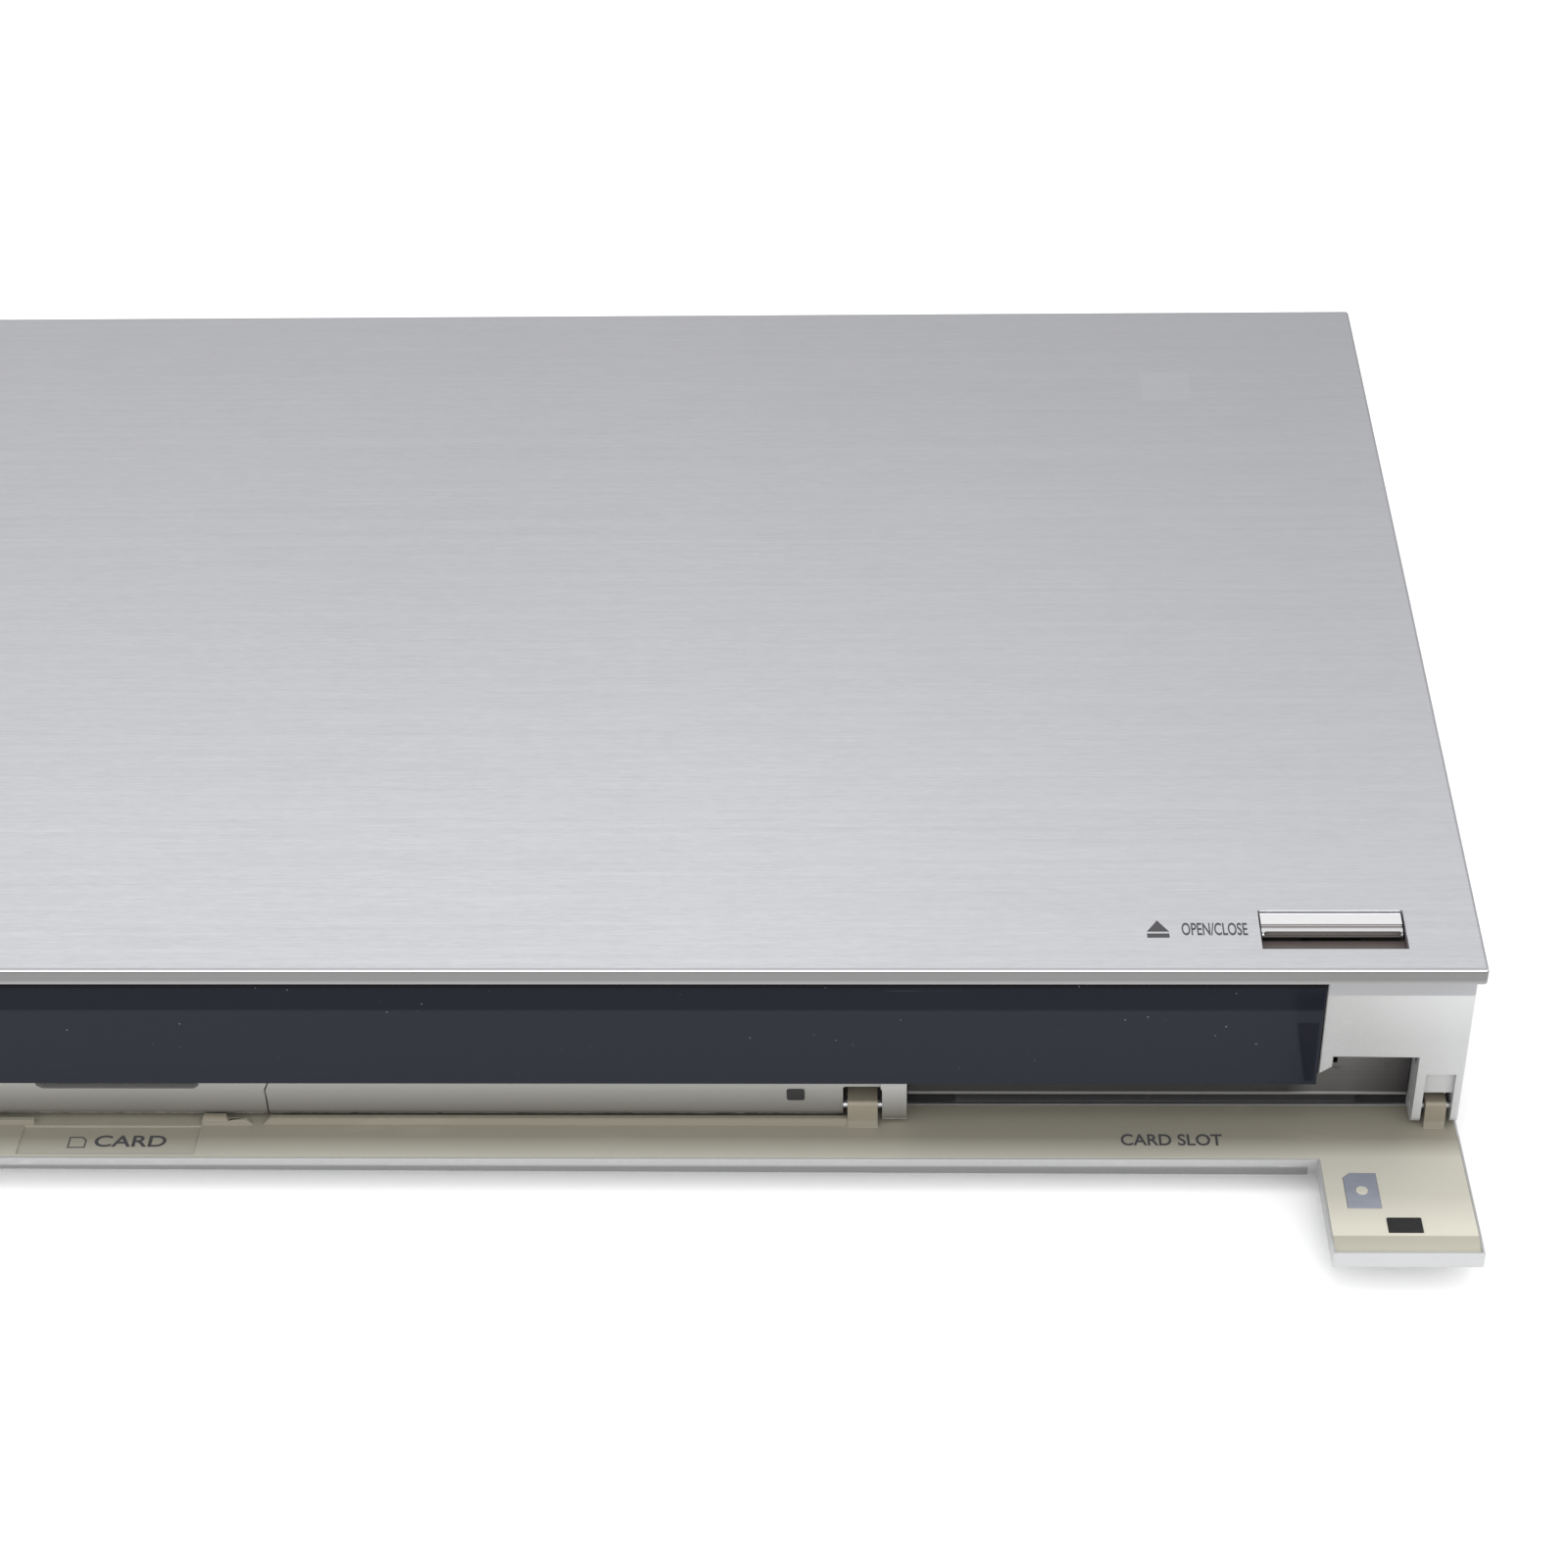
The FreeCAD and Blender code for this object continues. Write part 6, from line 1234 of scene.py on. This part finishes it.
class RECORDER_OT_marks(PieceOperator, bpy.types.Operator):
    """Plain symbols and words beside the eject key and on the flap"""
    bl_idname = "recorder.marks"
    bl_label = "Marks"

    def make(self, size):
        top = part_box("top_panel")[1].z
        low, left, right = top - size.print_height - 0.00001, 0.1673, 0.1705
        corners = [(left, FRONT + 0.0083), (right, FRONT + 0.0083), (0.1689, FRONT + 0.0107)]
        triangle = start_prism("eject_sign", corners, "Z", low, top)
        bar = start_block("bar", (left, FRONT + 0.0070, low), (right, FRONT + 0.0079, top))
        sign = join("eject_sign", [triangle, bar])
        settle(soften(sign, 0), "cabinet", "brushed_top", finish="dark_ink")
        words = add_words("key_words", "OPEN/CLOSE", size.word_height, 0.0094,
                          (0.1770, FRONT + 0.0087, top - 0.00001))
        settle(words, "cabinet", "brushed_top", finish="dark_ink")
        self.make_flap_marks()
        self.make_rail_mark()

    def make_flap_marks(self):
        """Words and a card sign on the lining, drawn on the shut flap's inner face and swung open with it."""
        for name, words, width, place in (
                ("card_words_right", "CARD SLOT", 0.0150, (0.1722, FLAP_FACE + 0.00001, 0.0050)),
                ("card_words_left", "CARD", 0.0108, (0.0171, FLAP_FACE - 0.00029, 0.0053))):
            piece = add_words(name, words, 0.0026, width, (0, 0, 0))
            piece.data.transform(Matrix.Translation(place) @ Matrix.Rotation(-pi / 2, 4, "X"))
            settle(swing_open(piece), "flap", "beige_plastic", finish="dark_ink")
        corners = [(0.0078, 0.0042), (0.0098, 0.0042), (0.0105, 0.0049), (0.0105, 0.0067), (0.0078, 0.0067)]
        sign = start_prism("card_sign", corners, "Y", FLAP_FACE - 0.0003, FLAP_FACE - 0.00028)
        with shaping(sign):
            choose(sign, "FACE", lambda middle, normal: abs(normal.y) > 0.9)
            bpy.ops.mesh.inset(thickness=0.00022, depth=0)
            bpy.ops.mesh.bridge_edge_loops()
        settle(swing_open(sign), "flap", "beige_plastic", finish="dark_ink")

    def make_rail_mark(self):
        """A plain dark rounded plate on the trim bar."""
        mark = start_block("rail_mark", spot(115.25, 5.1, 10.2), spot(117.9, 5.5, 12.9))
        move_corners(mark, lambda middle, normal: middle.z > 0.0126, (0, -0.00053, 0))
        bevel_edges(mark, edge_at("Y"), 0.0004, 4)
        settle(soften(mark, 0.00004), "cabinet", "grey_bar", finish="black_plastic")


class RECORDER_OT_rear_jacks(PieceOperator, bpy.types.Operator):
    """Turned aerial sockets and coloured jacks on the rear"""
    bl_idname = "recorder.rear_jacks"
    bl_label = "Rear jacks"

    def make(self, size):
        self.make_aerials()
        self.make_jacks()

    def start_barrel(self, name, start, radius, rear, depth, bore, bore_reach):
        """A round socket that ends at the rear, with a sunk end and a bore."""
        barrel = start_rod(name, "Y", start, radius, rear - start.y, 40)
        sink_face(barrel, facing("Y"), 0.0011, depth)
        bevel_edges(barrel, edge_at(y=rear), 0.0002)
        carve(barrel, start_rod("bore", "Y", (start.x, rear - bore_reach, start.z), bore,
                                bore_reach + 0.001, 24))
        return barrel

    def make_aerials(self):
        low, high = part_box("antenna_sockets")
        radius, pitch = 0.0047, 0.0011
        start = Vector((low.x + radius, low.y, low.z + radius))
        barrel = self.start_barrel("barrel", start, radius - 0.0003, high.y, 0.0004, 0.0008, 0.008)
        ring_start = Vector((start.x, high.y - 0.0082, start.z))
        ring = start_rod("ring", "Y", ring_start, radius, 0.0007, 40)
        bevel_edges(ring, lambda middle, along: abs(along.y) < 0.5, 0.00025, 2)
        carve(ring, start_rod("bore", "Y", ring_start - Vector((0, 0.001, 0)), radius - 0.0008, 0.003, 40))
        rings = repeat(ring, *((0, pitch * turn, 0) for turn in range(1, 7)))
        first = join("aerial_barrels", [barrel, ring, *rings])
        across, up = high.x - low.x - 2 * radius, high.z - low.z - 2 * radius
        aerials = join("aerial_barrels", [first, *repeat(first, (across, 0, 0), (0, 0, up), (across, 0, up))])
        settle(soften(aerials, 0), "cabinet", "nickel", "antenna_sockets")

    def make_jacks(self):
        low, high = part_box("av_jacks")
        half = (high.z - low.z) / 2
        body = start_block("jack_body", low, low + Vector((2 * half, 0.006, 2 * half)))
        bevel_edges(body, lambda place, along: True, 0.0003, 2)
        start = Vector((low.x + half, low.y + 0.005, low.z + half))
        jack = join("jack", [body, self.start_barrel("jack", start, 0.00415, high.y, 0.0005, 0.0016, 0.007)])
        step = (high.x - low.x - 2 * half) / 2
        jacks = join("round_jacks", [jack, *repeat(jack, (step, 0, 0), (2 * step, 0, 0))])
        settle(soften(jacks, 0), "cabinet", "nickel", "av_jacks", finish="jack_collars")


class RECORDER_OT_finishes(PieceOperator, bpy.types.Operator):
    """Gives every piece of the frame that stays in sight the finish of its slot"""
    bl_idname = "recorder.finishes"
    bl_label = "Finishes"

    def make(self, size):
        slots = {piece["node"]: piece["material_slot"] for piece in frame["record"]["subparts"]}
        for name, node in frame["nodes"].items():
            if not node.hide_render:
                finish = "black_plastic" if name == "card_reader" else slots[name]
                node.data.materials.clear()
                node.data.materials.append(finish_of(finish))


# Studio

def add_light(name, place, target, width, depth, power):
    """A rectangular lamp that looks at a target."""
    bpy.ops.object.light_add(type="AREA", location=place)
    lamp = bpy.context.object
    lamp.name = name
    lamp.data.shape = "RECTANGLE"
    lamp.data.size, lamp.data.size_y, lamp.data.energy = width, depth, power
    lamp.rotation_euler = (Vector(target) - Vector(place)).to_track_quat("-Z", "Y").to_euler()


class RECORDER_OT_stage(PieceOperator, bpy.types.Operator):
    """Pale floor, soft studio light and the camera of the photograph"""
    bl_idname = "recorder.stage"
    bl_label = "Stage"

    def make(self, size):
        self.make_floor()
        self.make_light()
        self.make_camera()

    def make_floor(self):
        bpy.ops.object.select_all(action="DESELECT")
        bpy.ops.mesh.primitive_plane_add(size=8, location=(0, 0, -0.00005))
        floor = named("studio_floor")
        paint = Paint("Studio floor")
        cloud = paint.noise(3.0)
        floor.data.materials.append(paint.finish(
            paint.tone(colours().floor, cloud, 0.004), 0.9, 0.0, cloud, 0.02, 0.001,
            Emission_Color=(1, 1, 1, 1), Emission_Strength=0.06))

    def make_light(self):
        """A sky that grows brighter upwards and to the front, and three lamps."""
        bpy.context.scene.world = bpy.data.worlds.new("Studio")
        sky, brightest = Nodes(bpy.context.scene.world), (-0.12, -0.5, 1.0)
        place = sky.node("ShaderNodeTexCoord", {}, {}, "Generated")
        lean = sky.node("ShaderNodeVectorMath", {"operation": "DOT_PRODUCT"}, {0: place, 1: brightest},
                        "Value")
        glow = sky.node("ShaderNodeBackground", {}, {"Color": (1, 1, 1, 1),
                                                     "Strength": lean.ramp(0.0, 0.38, 0.22, 1.16)})
        sky.node("ShaderNodeOutputWorld", {}, {"Surface": glow})
        add_light("lamp_above", (0.2, -0.1, 1.6), (0.05, 0, 0), 1.6, 1.2, 7.0)
        add_light("lamp_front", (0.3, -1.5, 1.0), (0.1, 0, 0), 3.0, 1.6, 17.0)
        add_light("lamp_left", (-1.6, 0.2, 1.0), (0, 0, 0), 1.0, 1.0, 2.0)
        view = bpy.context.scene.view_settings
        view.view_transform, view.look, view.exposure = "Standard", "None", 0.0

    def make_camera(self):
        """The camera of the photograph, by the angles and the focal length that were solved from it."""
        pitch, yaw, roll = 0.684936, 0.036564, 0.024733
        focal, picture, sensor = 3351.11, 1600, 36.0
        eye = spot(128.721, -343.386, 355.868)
        spin = Matrix.Rotation(yaw, 3, "Z")
        ahead = spin @ Vector((0, cos(pitch), -sin(pitch)))
        right = spin @ Vector((1, 0, 0))
        down = spin @ Vector((0, -sin(pitch), -cos(pitch)))
        level = cos(roll) * right + sin(roll) * down
        lower = cos(roll) * down - sin(roll) * right
        bpy.ops.object.camera_add()
        camera = bpy.context.object
        camera.name = "studio_camera"
        turn = Matrix((level, -lower, -ahead)).transposed().to_4x4()
        camera.matrix_world = Matrix.Translation(eye) @ turn
        camera.data.sensor_width = sensor
        camera.data.lens = focal / picture * sensor
        camera.data.clip_start, camera.data.clip_end = 0.01, 20.0
        bpy.context.scene.camera = camera


PIECE_CLASSES = (RECORDER_OT_top_plate, RECORDER_OT_keys, RECORDER_OT_window, RECORDER_OT_right_block,
                 RECORDER_OT_left_block, RECORDER_OT_bars, RECORDER_OT_hinge_pins, RECORDER_OT_card_bay,
                 RECORDER_OT_flap_skin, RECORDER_OT_flap_lining, RECORDER_OT_flap_fittings, RECORDER_OT_feet,
                 RECORDER_OT_marks, RECORDER_OT_rear_jacks, RECORDER_OT_finishes, RECORDER_OT_stage)


class RECORDER_PT_pieces(bpy.types.Panel):
    """Lists the recorder's values and the steps that build it"""
    bl_idname = "RECORDER_PT_pieces"
    bl_label = "Recorder"
    bl_space_type = "VIEW_3D"
    bl_region_type = "UI"
    bl_category = "Recorder"

    def draw(self, context):
        for group in (context.scene.recorder_sizes, context.scene.recorder_colours):
            column = self.layout.column()
            for name in group.bl_rna.properties.keys():
                if name not in ("rna_type", "name"):
                    column.prop(group, name)
        for piece in PIECE_CLASSES:
            self.layout.operator(piece.bl_idname)


CLASSES = (RecorderSizes, RecorderColours, *PIECE_CLASSES, RECORDER_PT_pieces)


def register():
    for each in CLASSES:
        bpy.utils.register_class(each)
    bpy.types.Scene.recorder_sizes = PointerProperty(type=RecorderSizes)
    bpy.types.Scene.recorder_colours = PointerProperty(type=RecorderColours)


def unregister():
    del bpy.types.Scene.recorder_colours
    del bpy.types.Scene.recorder_sizes
    for each in reversed(CLASSES):
        bpy.utils.unregister_class(each)


def main():
    register()
    bpy.ops.object.select_all(action="DESELECT")
    for piece in PIECE_CLASSES:
        group, name = piece.bl_idname.split(".")
        getattr(getattr(bpy.ops, group), name)()
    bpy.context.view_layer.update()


if __name__ == "__main__":
    main()
